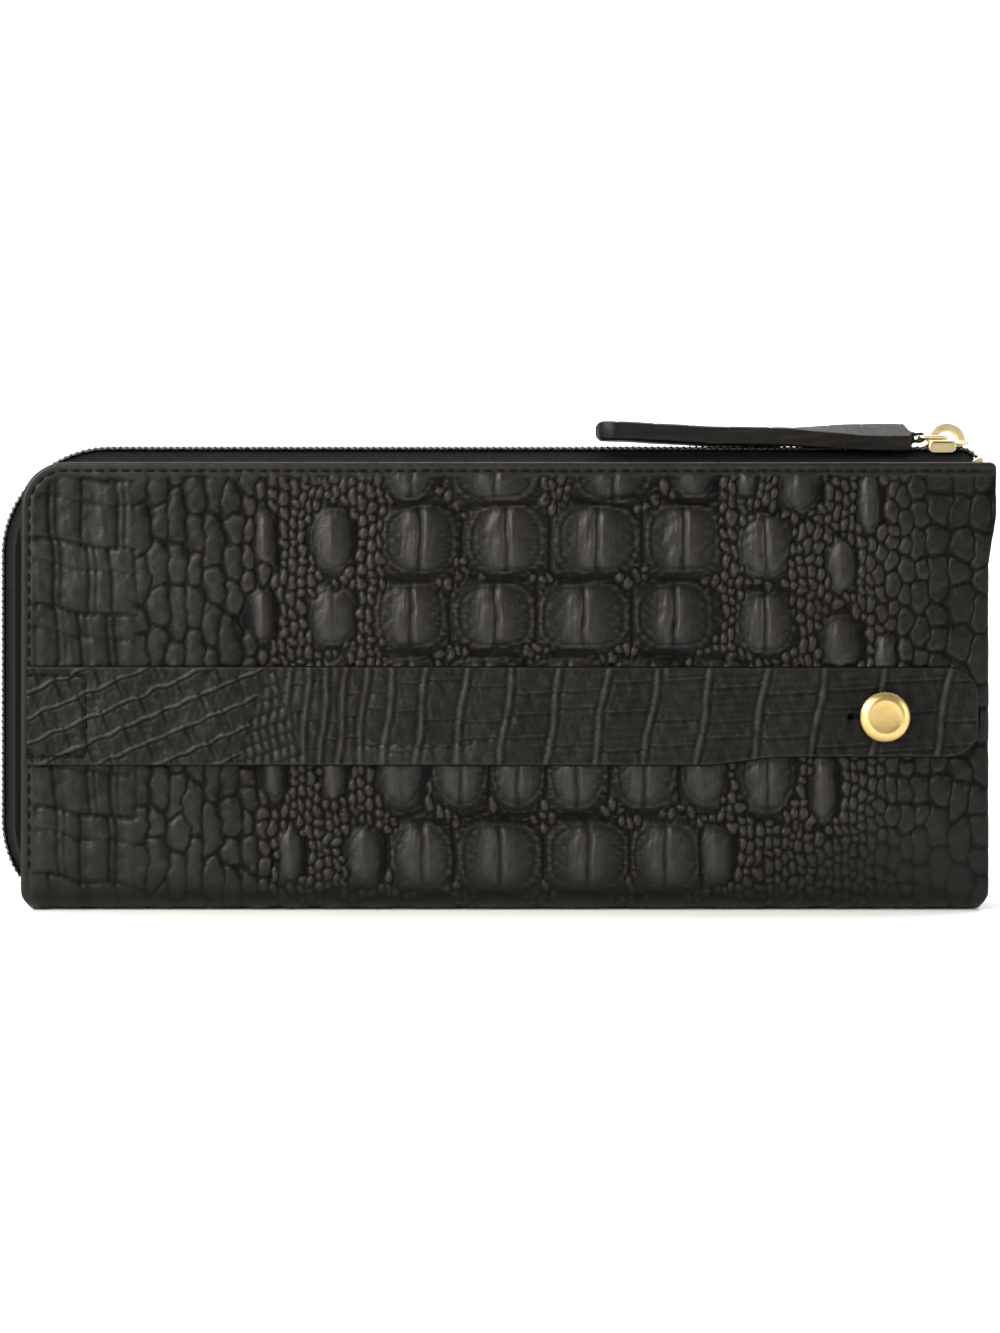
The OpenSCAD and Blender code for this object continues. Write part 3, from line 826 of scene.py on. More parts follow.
def spine_shell(outer, inner, rows, faces):
    """Adds a coarser inner sheet and the rims that close it."""
    grid = np.arange(rows * COLUMNS).reshape(rows, COLUMNS)
    start = rows * COLUMNS
    points = np.concatenate([outer, inner])
    inner_grid = grid + start
    first_rim = len(faces)
    left, right = grid[:, 0].tolist(), grid[:, -1].tolist()
    left_in, right_in = inner_grid[:, 0].tolist(), inner_grid[:, -1].tolist()
    for r in range(rows - 1):
        faces.append([left_in[r + 1], right_in[r + 1], right_in[r], left_in[r]])
        faces.append([left[r], left[r + 1], left_in[r + 1], left_in[r]])
        faces.append([right[r + 1], right[r], right_in[r], right_in[r + 1]])
    for r, turn in ((0, 1), (rows - 1, -1)):
        ring = [int(v) for v in grid[r]] + [int(inner_grid[r, -1]), int(inner_grid[r, 0])]
        faces.append(ring[::-turn])
    used = np.unique(np.concatenate([np.ravel(f) for f in faces[first_rim:]] + [grid.ravel()]))
    number = np.full(len(points), -1)
    number[used] = np.arange(len(used))
    faces = [[int(number[i]) for i in f] for f in faces]
    return points[used], faces, range(first_rim, len(faces))


cover("front_leather", "front_cover", "front_panel", True)
cover("back_leather", "back_cover", "back_panel", False)
spine()


# ---------------------------------------------------------------- strap
STRAP_X0, STRAP_X1 = ANCHOR_LOW[0], STRAP_HIGH[0]
STRAP_MID = (ANCHOR_LOW[2] + ANCHOR_HIGH[2]) / 2
STRAP_HALF = (ANCHOR_HIGH[2] - ANCHOR_LOW[2]) / 2
STRAP_END_MID, STRAP_END_HALF = 44.0, 9.95
STRAP_END_R = 6.6
BOX_X, BOX_HALF = -93.0, 8.9
SLIT_LONG, SLIT_END = 7.6, 7.3


def strap_edges(x):
    """Lower and upper edge of the strap at x: the lower edge steps up past the middle."""
    step = smooth((x - 42) / 20)
    low = STRAP_MID - STRAP_HALF + (STRAP_END_MID - STRAP_END_HALF - STRAP_MID + STRAP_HALF) * step
    high = STRAP_MID + STRAP_HALF + (STRAP_END_MID + STRAP_END_HALF - STRAP_MID - STRAP_HALF) * (
        (x - STRAP_X0) / (STRAP_X1 - STRAP_X0))
    over = np.clip(x - (STRAP_X1 - STRAP_END_R), 0, STRAP_END_R)
    bite = STRAP_END_R - np.sqrt(STRAP_END_R ** 2 - over ** 2)
    return low + bite, high - bite


def band_lines():
    """Where the upright bands of the strap meet: narrow at the left, wider to the right."""
    lines, at, k = [], -52.5, 0
    while at < STRAP_X1:
        lines.append(at)
        at += 4.0 + 6.4 * float(smooth((k - 3) / 6)) + 0.6 * max(0, k - 10)
        k += 1
    return lines


def strap_height(x, z):
    """Relief of the strap: slanting bands, then small bumps, then upright bands."""
    wobble = 0.25 * waves(x, z, 6, 31)
    slope = math.radians(23)
    along = (x + 106) * math.cos(slope) + (z - STRAP_MID) * math.sin(slope)
    across = (z - STRAP_MID) * math.cos(slope) - (x + 106) * math.sin(slope) + wobble
    band = across / 5.1
    part = band - np.floor(band)
    number = np.floor(band)
    slanting = 0.34 * bell((part - 0.90) / 0.06) - 0.16 * bell((part - 0.78) / 0.05) - 0.12 * part
    cross = along / 9.0 + 0.37 * number
    slanting -= 0.18 * bell((cross - np.round(cross)) * 9.0 / 0.24)
    slanting += 0.03 * waves(x * 0.6, z * 1.4, 3.0, 32)
    bump_x, bump_z = x / 1.9 + 0.25 * np.sin(z / 2.0), (z - 0.35 * x) / 2.9
    bumps = 0.34 * np.abs(np.cos(math.pi * bump_x)) ** 0.7 * np.abs(np.cos(math.pi * bump_z)) ** 0.6 - 0.22
    upright = 0.0 * x
    creases = 0.0 * x
    lines = band_lines()
    for k, at in enumerate(lines):
        lean = (z - STRAP_MID) * (0.05 + 0.11 * min(1.0, k / 12))
        away = x - at - lean - 0.3 * np.sin(z / 3.1 + 2.0 * k)
        wide = 0.26 + 0.006 * k
        upright += 0.20 * bell(away / wide) - 0.17 * bell((away - 1.1) / 0.5)
        upright -= 0.14 * bell((away + 1.0) / 0.45)
        gap = lines[k + 1] - at if k + 1 < len(lines) else 14.0
        inside = smooth(away / 1.2) * smooth((gap - away) / 1.2)
        for m in range(3):
            level = STRAP_MID - 6.5 + 6.2 * m + 1.6 * math.sin(5.0 * k + 2.0 * m) + 0.06 * (x - at)
            creases += inside * (0.07 * bell((z - level - 0.45) / 0.25) - 0.17 * bell((z - level) / 0.24))
    low, _ = strap_edges(x)
    scallop = smooth((x + 38) / 6) * smooth((0.0 - x) / 10)
    scale = (x + 40) / 3.4
    arch = np.abs(np.sin(math.pi * scale))
    scales = 0.16 * arch ** 0.5 - 0.18 * bell((z - low - 4.2 - 0.8 * arch) / 0.35)
    scales = scales * smooth((low + 5.5 - z) / 1.2) * scallop
    from_bands = smooth((x + 57 - 0.35 * (z - STRAP_MID)) / 2.0)
    from_bumps = smooth((x + 49 + 0.3 * (z - STRAP_MID)) / 2.5)
    field = slanting * (1 - from_bands) + bumps * from_bands * (1 - from_bumps)
    field = field + (upright + creases) * from_bumps + scales
    field += 0.03 * waves(x, z, 1.4, 33, 9) + 0.05 * waves(x, z, 4.0, 35, 9)
    return field + 0.04 * waves(x, z, 15, 34)


def strap():
    """One strip from the box of stitches to the round end."""
    columns, rows = 620, 72
    x_line = np.concatenate([np.linspace(STRAP_X0, STRAP_X1 - 3, columns - 16),
                             STRAP_X1 - 3 * (1 - np.sin(np.linspace(0, math.pi / 2, 17)[1:]))])
    low, high = strap_edges(x_line)
    share = np.linspace(0, 1, rows)
    z = low[None, :] + share[:, None] * (high - low)[None, :]
    x = np.repeat(x_line[None, :], rows, 0)
    height = strap_height(x, z)
    wear_and_highlight = ridge_wear_and_highlight(height)
    edge = np.minimum(np.minimum(z - low[None, :], high[None, :] - z), STRAP_X1 - x)
    # sunk stitch lines round the sewn end
    box = np.minimum(np.abs(np.abs(z - STRAP_MID) - BOX_HALF) + 50 * (x > BOX_X + 0.4),
                     np.abs(x - BOX_X) + 50 * (np.abs(z - STRAP_MID) > BOX_HALF + 0.4))
    height -= SEAM_DEEP * bell(box / 0.55)
    height = height * (0.35 + 0.65 * smooth(edge / 1.2)) - rim_drop(edge, STRAP_ROUND)
    # the ridge layer fades at the edge, and a painted highlight runs along the strap's rounded edge
    wear_and_highlight = wear_and_highlight * smooth(edge / 0.8) + 0.8 * bell((edge - 0.45) / 0.25)
    # the leather sinks a little under the stud's head, and a slit runs from its hole
    away = np.hypot(x - STUD_X, z - STUD_Z)
    height -= 0.25 * bell(away / 7.0)
    in_slit = (x < STUD_X) & (x > STUD_X - SLIT_LONG)
    height -= np.where(in_slit, 0.55 * bell((z - STUD_Z) / 0.28), 0.0)
    height -= 1.0 * bell(np.hypot(x - STUD_X + SLIT_END, z - STUD_Z) / 0.62)
    wear_and_highlight = wear_and_highlight * smooth((away - STUD_R) / 2.0)
    outer = np.stack([x, STRAP_LOW[1] - height, z], -1).reshape(-1, 3)
    inner = np.stack([x, np.full_like(x, STRAP_HIGH[1] - 0.04), z], -1).reshape(-1, 3)
    points, faces, rim = shell_from_grid(outer, inner, rows, columns)
    layers = leather_layers(height, wear_and_highlight, len(points), *STRAP_RELIEF)
    piece = new_object("strap_leather", points, faces, CROC, rim, layers)
    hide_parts("strap", "strap_anchor")
    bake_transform(piece)
    return piece


# ---------------------------------------------------------------- stitches
def stitch(middle, direction, out, length=2.05, thick=0.30):
    """One stitch: a short, flattened grain that lies on the surface and dips at both ends."""
    direction = np.array(direction, float) / np.linalg.norm(direction)
    out = np.array(out, float)
    side = np.cross(direction, out)
    rings, sides = 7, 8
    points = []
    for i in range(rings):
        t = -1 + 2 * i / (rings - 1)
        fat = thick * math.sqrt(max(0.0, 1 - (abs(t) ** 3.0))) + 0.03
        centre = np.array(middle, float) + direction * t * length / 2 - out * 0.16 * t * t
        for k in range(sides):
            a = math.tau * k / sides
            points.append(centre + side * fat * math.cos(a) + out * fat * 0.75 * math.sin(a))
    faces = []
    for i in range(rings - 1):
        for k in range(sides):
            here, m = i * sides, (k + 1) % sides
            faces.append([here + k, here + m, here + sides + m, here + sides + k])
    faces += [list(range(sides))[::-1], [(rings - 1) * sides + k for k in range(sides)]]
    return points, faces


def sewn_line(front, z_start):
    """Points and directions of the stitch line: up the left edge, round the corner, along the top."""
    radius = CORNER_R - STITCH_IN
    cx, cz = LEFT + CORNER_R, TOP - CORNER_R
    up = cz - z_start
    turn = radius * math.pi / 2
    over = RIGHT - 1.2 - cx
    total = up + turn + over
    y = FRONT_Y if front else BACK_Y
    out = (0, -1 if front else 1, 0)
    parts = []
    for k in range(int(total / STITCH_PITCH)):
        s = (k + 0.5) * STITCH_PITCH
        if s < up:
            place, way = (LEFT + STITCH_IN, y, z_start + s), (0, 0, 1)
        elif s < up + turn:
            a = (s - up) / radius
            place = (cx - radius * math.cos(a), y, cz + radius * math.sin(a))
            way = (math.sin(a), 0, math.cos(a))
        else:
            place, way = (cx + s - up - turn, y, TOP - STITCH_IN), (1, 0, 0)
        parts.append(stitch(np.array(place) - np.array(out) * STITCH_SINK, way, out))
    return parts


def stitches():
    for name, body, node, front in (("front_thread", "front_cover", "front_stitches", True),
                                    ("back_thread", "back_cover", "back_stitches", False)):
        piece = new_object(name, *join_parts(sewn_line(front, FOLD_Z + 1)), THREAD)
        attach(piece, body)
        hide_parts(node)
    parts = []
    y = STRAP_LOW[1] + 0.05
    columns = int((BOX_X - STRAP_X0 - 0.6) / STITCH_PITCH)
    for z in (STRAP_MID - BOX_HALF, STRAP_MID + BOX_HALF):
        for k in range(columns + 1):
            parts.append(stitch((BOX_X - 1.3 - k * STITCH_PITCH, y, z), (1, 0, 0), (0, -1, 0)))
    for k in range(int(2 * BOX_HALF / STITCH_PITCH)):
        z = STRAP_MID - BOX_HALF + 1.5 + k * STITCH_PITCH
        parts.append(stitch((BOX_X, y, z), (0, 0, 1), (0, -1, 0)))
    piece = new_object("strap_thread", *join_parts(parts), THREAD)
    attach(piece, "front_cover")
    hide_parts("strap_stitches")


# ---------------------------------------------------------------- zip
def zip_path(s):
    """Point and outward direction, in X and Z, at length s along the zip's outer line from its low end."""
    low = math.radians(ZIP_LOW_TURN) * ZIP_R
    left = ZIP_TOP_CZ - ZIP_LOW_CZ
    corner = math.pi / 2 * ZIP_R
    top = ZIP_END_X - ZIP_CX
    if s < low:
        a = math.pi + math.radians(ZIP_LOW_TURN) - s / ZIP_R
        return ZIP_CX + ZIP_R * math.cos(a), ZIP_LOW_CZ + ZIP_R * math.sin(a), math.cos(a), math.sin(a)
    s -= low
    if s < left:
        return ZIP_LEFT, ZIP_LOW_CZ + s, -1.0, 0.0
    s -= left
    if s < corner:
        a = math.pi - s / ZIP_R
        return ZIP_CX + ZIP_R * math.cos(a), ZIP_TOP_CZ + ZIP_R * math.sin(a), math.cos(a), math.sin(a)
    s -= corner
    if s < top:
        return ZIP_CX + s, ZIP_TOP, 0.0, 1.0
    a = math.pi / 2 - (s - top) / ZIP_END_R
    centre = ZIP_TOP - ZIP_END_R
    return ZIP_END_X + ZIP_END_R * math.cos(a), centre + ZIP_END_R * math.sin(a), math.cos(a), math.sin(a)


ZIP_BENDS = (math.radians(ZIP_LOW_TURN) + math.pi / 2) * ZIP_R
ZIP_TO_END_ARC = ZIP_BENDS + ZIP_TOP_CZ - ZIP_LOW_CZ + ZIP_END_X - ZIP_CX
ZIP_LENGTH = ZIP_TO_END_ARC + math.radians(ZIP_END_TURN) * ZIP_END_R


def zip_point(s, inside, lateral):
    px, pz, nx, nz = zip_path(s)
    return (px - inside * nx, lateral, pz - inside * nz)


def coil_side(name, body, node, side):
    """One helical coil: its heads reach past the middle, between those of the other side."""
    wire = 0.30
    reach = (COIL_HALF + 0.32) / 2
    middle = side * (COIL_HALF - reach)
    turns = int((ZIP_LENGTH - 1) / TOOTH_PITCH)
    steps = 12
    phase = 0.0 if side > 0 else 0.5
    path = []
    for k in range(turns * steps):
        t = k / steps + phase
        a = math.tau * t
        # the loop is flat: it runs across quickly and turns tightly at its head
        lateral = middle + side * (reach - wire) * math.cos(a)
        inside = COIL_H / 2 - (COIL_H / 2 - wire) * math.sin(a)
        s = 0.6 + TOOTH_PITCH * (t + 0.10 * math.sin(2 * a))
        path.append(zip_point(min(s, ZIP_LENGTH), inside, lateral))
    core = [zip_point(s, COIL_H / 2, side * (COIL_HALF - 0.95)) for s in np.arange(0.5, ZIP_LENGTH, 1.4)]
    parts = [tube(path, wire, 6, frames=[0.0, 1.0, 0.0]), tube(core, 0.42, 6, frames=[0.0, 1.0, 0.0])]
    piece = new_object(name, *join_parts(parts), NYLON)
    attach(piece, body)
    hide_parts(node)
    # sewing thread over the outer side of the coil: one small stitch for each turn
    dots = []
    for k in range(turns):
        s = 0.9 + k * TOOTH_PITCH
        _, _, nx, nz = zip_path(s)
        place = zip_point(s, 0.62 + 0.16 * (k % 2), side * (COIL_HALF + 0.02))
        dots.append(stitch(place, (nz - 0.5 * nx, 0, -nx - 0.5 * nz), (0, side, 0), 0.75, 0.15))
    sewn = new_object(name + "_thread", *join_parts(dots), COIL_THREAD)
    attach(sewn, body)


def tape_sheet(s_values, section, side, thick):
    """A ribbon of the given section, swept along the zip and closed on all sides."""
    count = len(section)
    normals = np.gradient(np.array(section), axis=0)
    normals = np.stack([-normals[:, 1], normals[:, 0]], -1)
    normals /= np.linalg.norm(normals, axis=1)[:, None]
    points = []
    for row, s in enumerate(s_values):
        rib = 0.05 if row % 2 else -0.03
        for layer in (0.0, thick):
            for k, (inside, lateral) in enumerate(section):
                lift = layer + (rib if layer == 0 else 0)
                across, out = normals[k] * lift
                points.append(zip_point(s, inside + across, side * (lateral + out)))
    ring = list(range(count)) + list(range(2 * count - 1, count - 1, -1))
    size = 2 * count
    faces = []
    for r in range(len(s_values) - 1):
        for k in range(size):
            m = (k + 1) % size
            a, b = r * size + ring[k], r * size + ring[m]
            faces.append([a, a + size, b + size, b] if side > 0 else [b, b + size, a + size, a])
    ends = [ring, [(len(s_values) - 1) * size + k for k in ring]]
    faces += [ends[0][::-1], ends[1]] if side < 0 else [ends[0], ends[1][::-1]]
    return points, faces


def tape_side(name, body, node, side):
    """Woven tape from under the coil, sloping to the cover and sewn flat inside it."""
    slope = [(1.55 + 3.7 * t + 0.35 * math.sin(math.pi * t), 1.6 + 8.45 * t) for t in np.linspace(0, 1, 15)]
    flat = [(v, 10.1) for v in np.linspace(5.8, 11.8, 8)]
    under = [(1.47, 0.40), (1.47, 0.80), (1.48, 1.20)]
    long_part = tape_sheet(np.arange(0.0, ZIP_TO_END_ARC - 0.2, 0.75), under + slope + flat, side, 0.32)
    end_part = tape_sheet(np.arange(ZIP_TO_END_ARC - 0.3, ZIP_LENGTH, 0.5), under + slope[:13], side, 0.32)
    piece = new_object(name, *join_parts([long_part, end_part]), TAPE)
    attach(piece, body)
    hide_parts(node)


def zip_chain():
    coil_side("coil_back", "back_cover", "zip_coil_back", 1)
    coil_side("coil_front", "front_cover", "zip_coil_front", -1)
    tape_side("tape_back", "back_cover", "zip_tape_back", 1)
    tape_side("tape_front", "front_cover", "zip_tape_front", -1)


# ---------------------------------------------------------------- hardware
def bevelled(name, parts, material, width, body, node, segments=3):
    """A hard piece: its parts are joined, their edges rounded, and normals kept crisp on the flats."""
    piece = new_object(name, *join_parts(parts), material)
    bevel = piece.modifiers.new("bevel", "BEVEL")
    bevel.width = width * MM
    bevel.segments = segments
    bevel.limit_method = "ANGLE"
    bevel.angle_limit = math.radians(40)
    bevel.harden_normals = True
    depsgraph = bpy.context.evaluated_depsgraph_get()
    mesh = bpy.data.meshes.new_from_object(piece.evaluated_get(depsgraph))
    piece.modifiers.clear()
    piece.data = mesh
    if body:
        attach(piece, body)
    if node:
        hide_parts(node)
    return piece


def prism(outline, low, high, plane="xy"):
    """A straight-sided solid from an outline; plane names the two axes that it is drawn in."""
    outline = np.asarray(outline, float)
    n = len(outline)
    order = {"xy": (0, 1, 2), "xz": (0, 2, 1), "yz": (1, 2, 0)}[plane]
    points = np.zeros((2 * n, 3))
    for k, level in enumerate((low, high)):
        block = points[k * n:(k + 1) * n]
        block[:, order[0]] = outline[:, 0]
        block[:, order[1]] = outline[:, 1]
        block[:, order[2]] = level
    area = np.sum(outline[:, 0] * np.roll(outline[:, 1], -1) - np.roll(outline[:, 0], -1) * outline[:, 1])
    turned = (area > 0) != (plane == "xz")
    sides = [[k, (k + 1) % n, n + (k + 1) % n, n + k] for k in range(n)]
    caps = [list(range(n))[::-1], [n + k for k in range(n)]]
    faces = sides + caps
    return points, faces if turned else [f[::-1] for f in faces]


def arc(cx, cy, radius, start, end, steps):
    """Points on an arc, from start to end in degrees."""
    angles = [math.radians(start + (end - start) * k / steps) for k in range(steps + 1)]
    return [(cx + radius * math.cos(a), cy + radius * math.sin(a)) for a in angles]


def round_rectangle(x0, x1, y0, y1, r, steps=5):
    points = []
    low_x, high_x, low_y, high_y = x0 + r, x1 - r, y0 + r, y1 - r
    corners = ((high_x, high_y), (low_x, high_y), (low_x, low_y), (high_x, low_y))
    for turn, (cx, cy) in enumerate(corners):
        points += arc(cx, cy, r, 90 * turn, 90 * turn + 90, steps)
    return points


SLIDER_HALF = SLIDER_HIGH[1]
PLATE_TOP = ZIP_TOP + 1.1
BRIDGE_X = 98.4
BRIDGE_R = 4.3
BRIDGE_BAND = 1.9
RING_Z = (RING_LOW[2] + RING_HIGH[2]) / 2
RING_WIRE = (RING_HIGH[2] - RING_LOW[2]) / 2


def slider():
    """Slider body: shield-shaped plates, side flanges, wedge and the arch for the ring."""
    x0, x1 = SLIDER_LOW[0], SLIDER_HIGH[0]
    half = SLIDER_HALF
    shield = [(x0, -half + 0.7), (x0 + 0.7, -half), (x0 + 5.6, -half), (x1 - 1.2, -half + 1.3), (x1, -1.2),
              (x1, 1.2), (x1 - 1.2, half - 1.3), (x0 + 5.6, half), (x0 + 0.7, half), (x0, half - 0.7)]
    parts = [prism(shield, PLATE_TOP - 0.8, PLATE_TOP)]
    low_shield = [(x, y * 0.96) for x, y in shield]
    parts.append(prism(low_shield, SLIDER_LOW[2], SLIDER_LOW[2] + 0.8))
    for side in (-1, 1):
        y0, y1 = sorted((side * (half - 1.0), side * half))
        flange = round_rectangle(x0, x0 + 6.0, PLATE_TOP - 2.8, PLATE_TOP - 0.2, 1.1)
        parts.append(prism(flange, y0, y1, "xz"))
    parts.append(prism([(x1 - 2.2, -0.2), (x1 - 0.8, -0.2), (x1 - 0.8, 0.2), (x1 - 2.2, 0.2)],
                       SLIDER_LOW[2] + 0.4, PLATE_TOP - 0.4))
    # nose: the tip of the plate turns down
    nose = [(x1 - 0.5, PLATE_TOP), (x1 + 0.25, PLATE_TOP - 0.25), (x1 + 0.35, PLATE_TOP - 0.75),
            (x1 - 0.5, PLATE_TOP - 0.7)]
    parts.append(prism(nose, -1.1, 1.1, "xz"))
    bevelled("slider_body", parts, GOLD, 0.32, "slider", "zip_slider", 4)
    # the arch is a band with rounded edges
    foot = PLATE_TOP - 0.25
    outline = arc(BRIDGE_X, foot, BRIDGE_R, 0, 180, 24)
    outline += arc(BRIDGE_X, foot, BRIDGE_R - BRIDGE_BAND, 180, 0, 24)
    bevelled("slider_arch", [prism(outline, -1.0, 1.0, "xz")], GOLD, 0.6, "slider", None, 5)


def ring():
    """Rectangular wire ring with round corners."""
    x0, x1 = RING_LOW[0] + RING_WIRE, RING_HIGH[0] - RING_WIRE
    half = RING_HIGH[1] - RING_WIRE
    path = [(x, y, RING_Z) for x, y in round_rectangle(x0, x1, -half, half, 0.9, 6)]
    piece = new_object("wire_ring", *tube(path, RING_WIRE, 14, closed=True), GOLD)
    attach(piece, "ring")
    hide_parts("pull_ring")


def lathe(outline, steps=96):
    """Turns an outline of (radius, distance towards -Y) about the stud's axis."""
    points, faces = [], []
    n = len(outline)
    for k in range(steps):
        a = math.tau * k / steps
        for r, out in outline:
            points.append((STUD_X + r * math.cos(a), -out, STUD_Z + r * math.sin(a)))
    for k in range(steps):
        j = (k + 1) % steps
        for i in range(n - 1):
            faces.append([k * n + i, j * n + i, j * n + i + 1, k * n + i + 1])
    faces.append([k * n for k in range(steps)][::-1])
    faces.append([k * n + n - 1 for k in range(steps)])
    return points, faces


def stud():
    """Turned head: a straight rim, a broad bevel and a slightly hollow face."""
    base, front = -STUD_HIGH[1], -STUD_LOW[1]
    outline = [(2.0, base), (STUD_R - 0.5, base), (STUD_R - 0.12, base + 0.12), (STUD_R, base + 0.4),
               (STUD_R, base + 0.62), (STUD_R - 0.1, base + 0.82)]
    face_r = 3.65
    for k in range(1, 7):
        t = k / 6
        r = STUD_R - 0.1 - (STUD_R - 0.1 - face_r - 0.15) * t
        outline.append((r, base + 0.82 + (front - base - 0.87) * math.sin(t * math.pi / 2)))
    outline += [(face_r, front - 0.02), (face_r - 0.2, front - 0.06), (2.4, front - 0.12),
                (0.3, front - 0.15)]
    piece = new_object("stud_cap", *lathe(outline), BRASS)
    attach(piece, "front_cover")
    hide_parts("stud_head")


# ---------------------------------------------------------------- pull tab
TAB_NECK, TAB_LOOP_X = 89.3, 91.0
TAB_HALF_THICK = 2.15


def tab_section(x):
    """Half width, half thickness, level and twist of the pull tab at x."""
    x0, half = TAB_LOW[0], TAB_HIGH[1]
    end = float(np.clip((x - x0) / half, 0.01, 1))
    width = half * math.sqrt(1 - (1 - end) ** 2)
    corner = float(np.clip((x - x0) / 1.7, 0.02, 1))
    thick = TAB_HALF_THICK * (0.30 + 0.70 * math.sqrt(1 - (1 - corner) ** 2))
    rise = 1.35 * (1 - float(smooth((x - x0) / 30)))
    level = ZIP_TOP - 0.1 + TAB_HALF_THICK + rise
    taper = float(smooth((x - TAB_NECK) / (TAB_LOOP_X - TAB_NECK)))
    width = width * (1 - taper) + 1.7 * taper
    thick = thick * (1 - taper) + 1.25 * taper
    level = level * (1 - taper) + RING_Z * taper
    twist = math.radians(21) * float(smooth((x - 56) / 28)) * (1 - taper)
    return width, thick, level, twist


def pull_tab():
    """Folded strip of leather: painted edges, a round far end, narrowed to a loop at the ring."""
    rounds = np.array(round_rectangle(-1, 1, -1, 1, 0.30, 6))
    sides = len(rounds)
    rows = 260
    points, edge = [], []
    for x in np.linspace(TAB_LOW[0], TAB_LOOP_X, rows):
        width, thick, level, twist = tab_section(x)
        body = float(smooth((TAB_NECK + 2 - x) / 4))
        wave = 0.05 * math.sin(x / 5.3) + 0.03 * math.sin(x / 1.9)
        for a, b in rounds:
            on_edge = float(smooth((abs(a) - 0.8) / 0.15))
            on_top = float(smooth((b - 0.85) / 0.15))
            y, z = a * width, b * thick
            # the seam between the folded layers, and the ends of the embossed creases on the face
            y -= 0.30 * body * on_edge * float(bell((b - 0.42) / 0.10)) * np.sign(a)
            ripple = math.sin(x * 0.9 + 3 * b) * float(bell((b + 0.45) / 0.3))
            y -= 0.12 * body * on_edge * ripple * np.sign(a)
            crease = float(bell(((x * 0.115 + 0.06 * y + 0.1 * math.sin(x / 6)) % 1.0 - 0.5) / 0.04))
            z -= 0.22 * body * on_top * crease
            turned_y = y * math.cos(twist) + z * math.sin(twist)
            turned_z = y * math.sin(twist) + z * math.cos(twist)
            points.append((x, turned_y, level + turned_z + wave * body))
            edge.append(on_edge)
    faces = []
    for r in range(rows - 1):
        for k in range(sides):
            m = (k + 1) % sides
            faces.append([r * sides + m, (r + 1) * sides + m, (r + 1) * sides + k, r * sides + k])
    faces.append(list(range(sides)))
    faces.append([(rows - 1) * sides + k for k in range(sides)][::-1])
    # the loop round the ring's outer bar
    bar_x = RING_LOW[0] + RING_WIRE
    outer, inner, root = 1.15, 0.7, TAB_LOOP_X - 0.5
    outline = arc(bar_x, RING_Z, outer, 115, -115, 16)
    outline += [(root, RING_Z - 1.1), (root, RING_Z - 0.35)]
    outline += arc(bar_x, RING_Z, inner, -140, 140, 12)
    outline += [(root, RING_Z + 0.35), (root, RING_Z + 1.1)]
    loop = prism(outline, -1.65, 1.65, "xz")
    strip = new_object("tab_strip", points, faces, TAB_LEATHER, attributes={"edge": edge})
    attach(strip, "tab")
    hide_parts("pull_tab")
    bevelled("tab_loop", [loop], TAB_LEATHER, 0.12, "tab", None, 2)


# ---------------------------------------------------------------- inside
_, GUSSET_HIGH = node_box("right_gusset")


def gusset():
    """Pleated sheet that closes the right side."""
    x_out, x_in = RIGHT - 4.0, RIGHT - 18.5
    y_end = GUSSET_HIGH[1]
    folds = [(x_out, y_end), (x_in, y_end / 2), (x_out, 0.0), (x_in, -y_end / 2), (x_out, -y_end)]
    line = []
    for (xa, ya), (xb, yb) in zip(folds, folds[1:]):
        for t in np.linspace(0, 1, 13)[:-1]:
            soft = 0.5 - 0.5 * math.cos(math.pi * t)
            line.append((xa + (xb - xa) * (0.35 * t + 0.65 * soft), ya + (yb - ya) * t))
    line.append(folds[-1])
    rows = 60
    z_high = GUSSET_HIGH[2]
    count = len(line)
    points = []
    for layer in (0.0, 0.7):
        for r in range(rows):
            t = r / (rows - 1)
            for k, (x, y) in enumerate(line):
                floor = LEATHER_T + 0.4 + max(0.0, abs(y) - 5.5) * 0.9
                z = floor + (z_high - floor) * t
                sway = 0.35 * math.sin(z / 11 + k * 0.4) + 0.12 * math.sin(z / 3.7 + k)
                points.append((x + layer + sway, y * (1 - 0.03 * math.sin(math.pi * t)), z))
    front_faces = grid_faces(rows, count, flip=True)
    back_faces = grid_faces(rows, count, rows * count)
    index = np.arange(rows * count).reshape(rows, count)
    loop = boundary(index)
    rim = [[int(loop[k]), int(loop[(k + 1) % len(loop)]), int(loop[(k + 1) % len(loop)]) + rows * count,
            int(loop[k]) + rows * count] for k in range(len(loop))]
    piece = new_object("gusset_leather", points, front_faces + back_faces + rim, INNER)
    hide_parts("right_gusset")
    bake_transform(piece)


LINING_CORNER = ZIP_R - 5.8


def lining_left(z, x_low):
    """Left edge of the linings, which keep clear of the zip tape round both corners."""
    over = np.maximum(z - ZIP_TOP_CZ, ZIP_LOW_CZ - z)
    over = np.clip(over, 0, LINING_CORNER - 0.01)
    return np.maximum(x_low, ZIP_CX - np.sqrt(LINING_CORNER ** 2 - over ** 2))


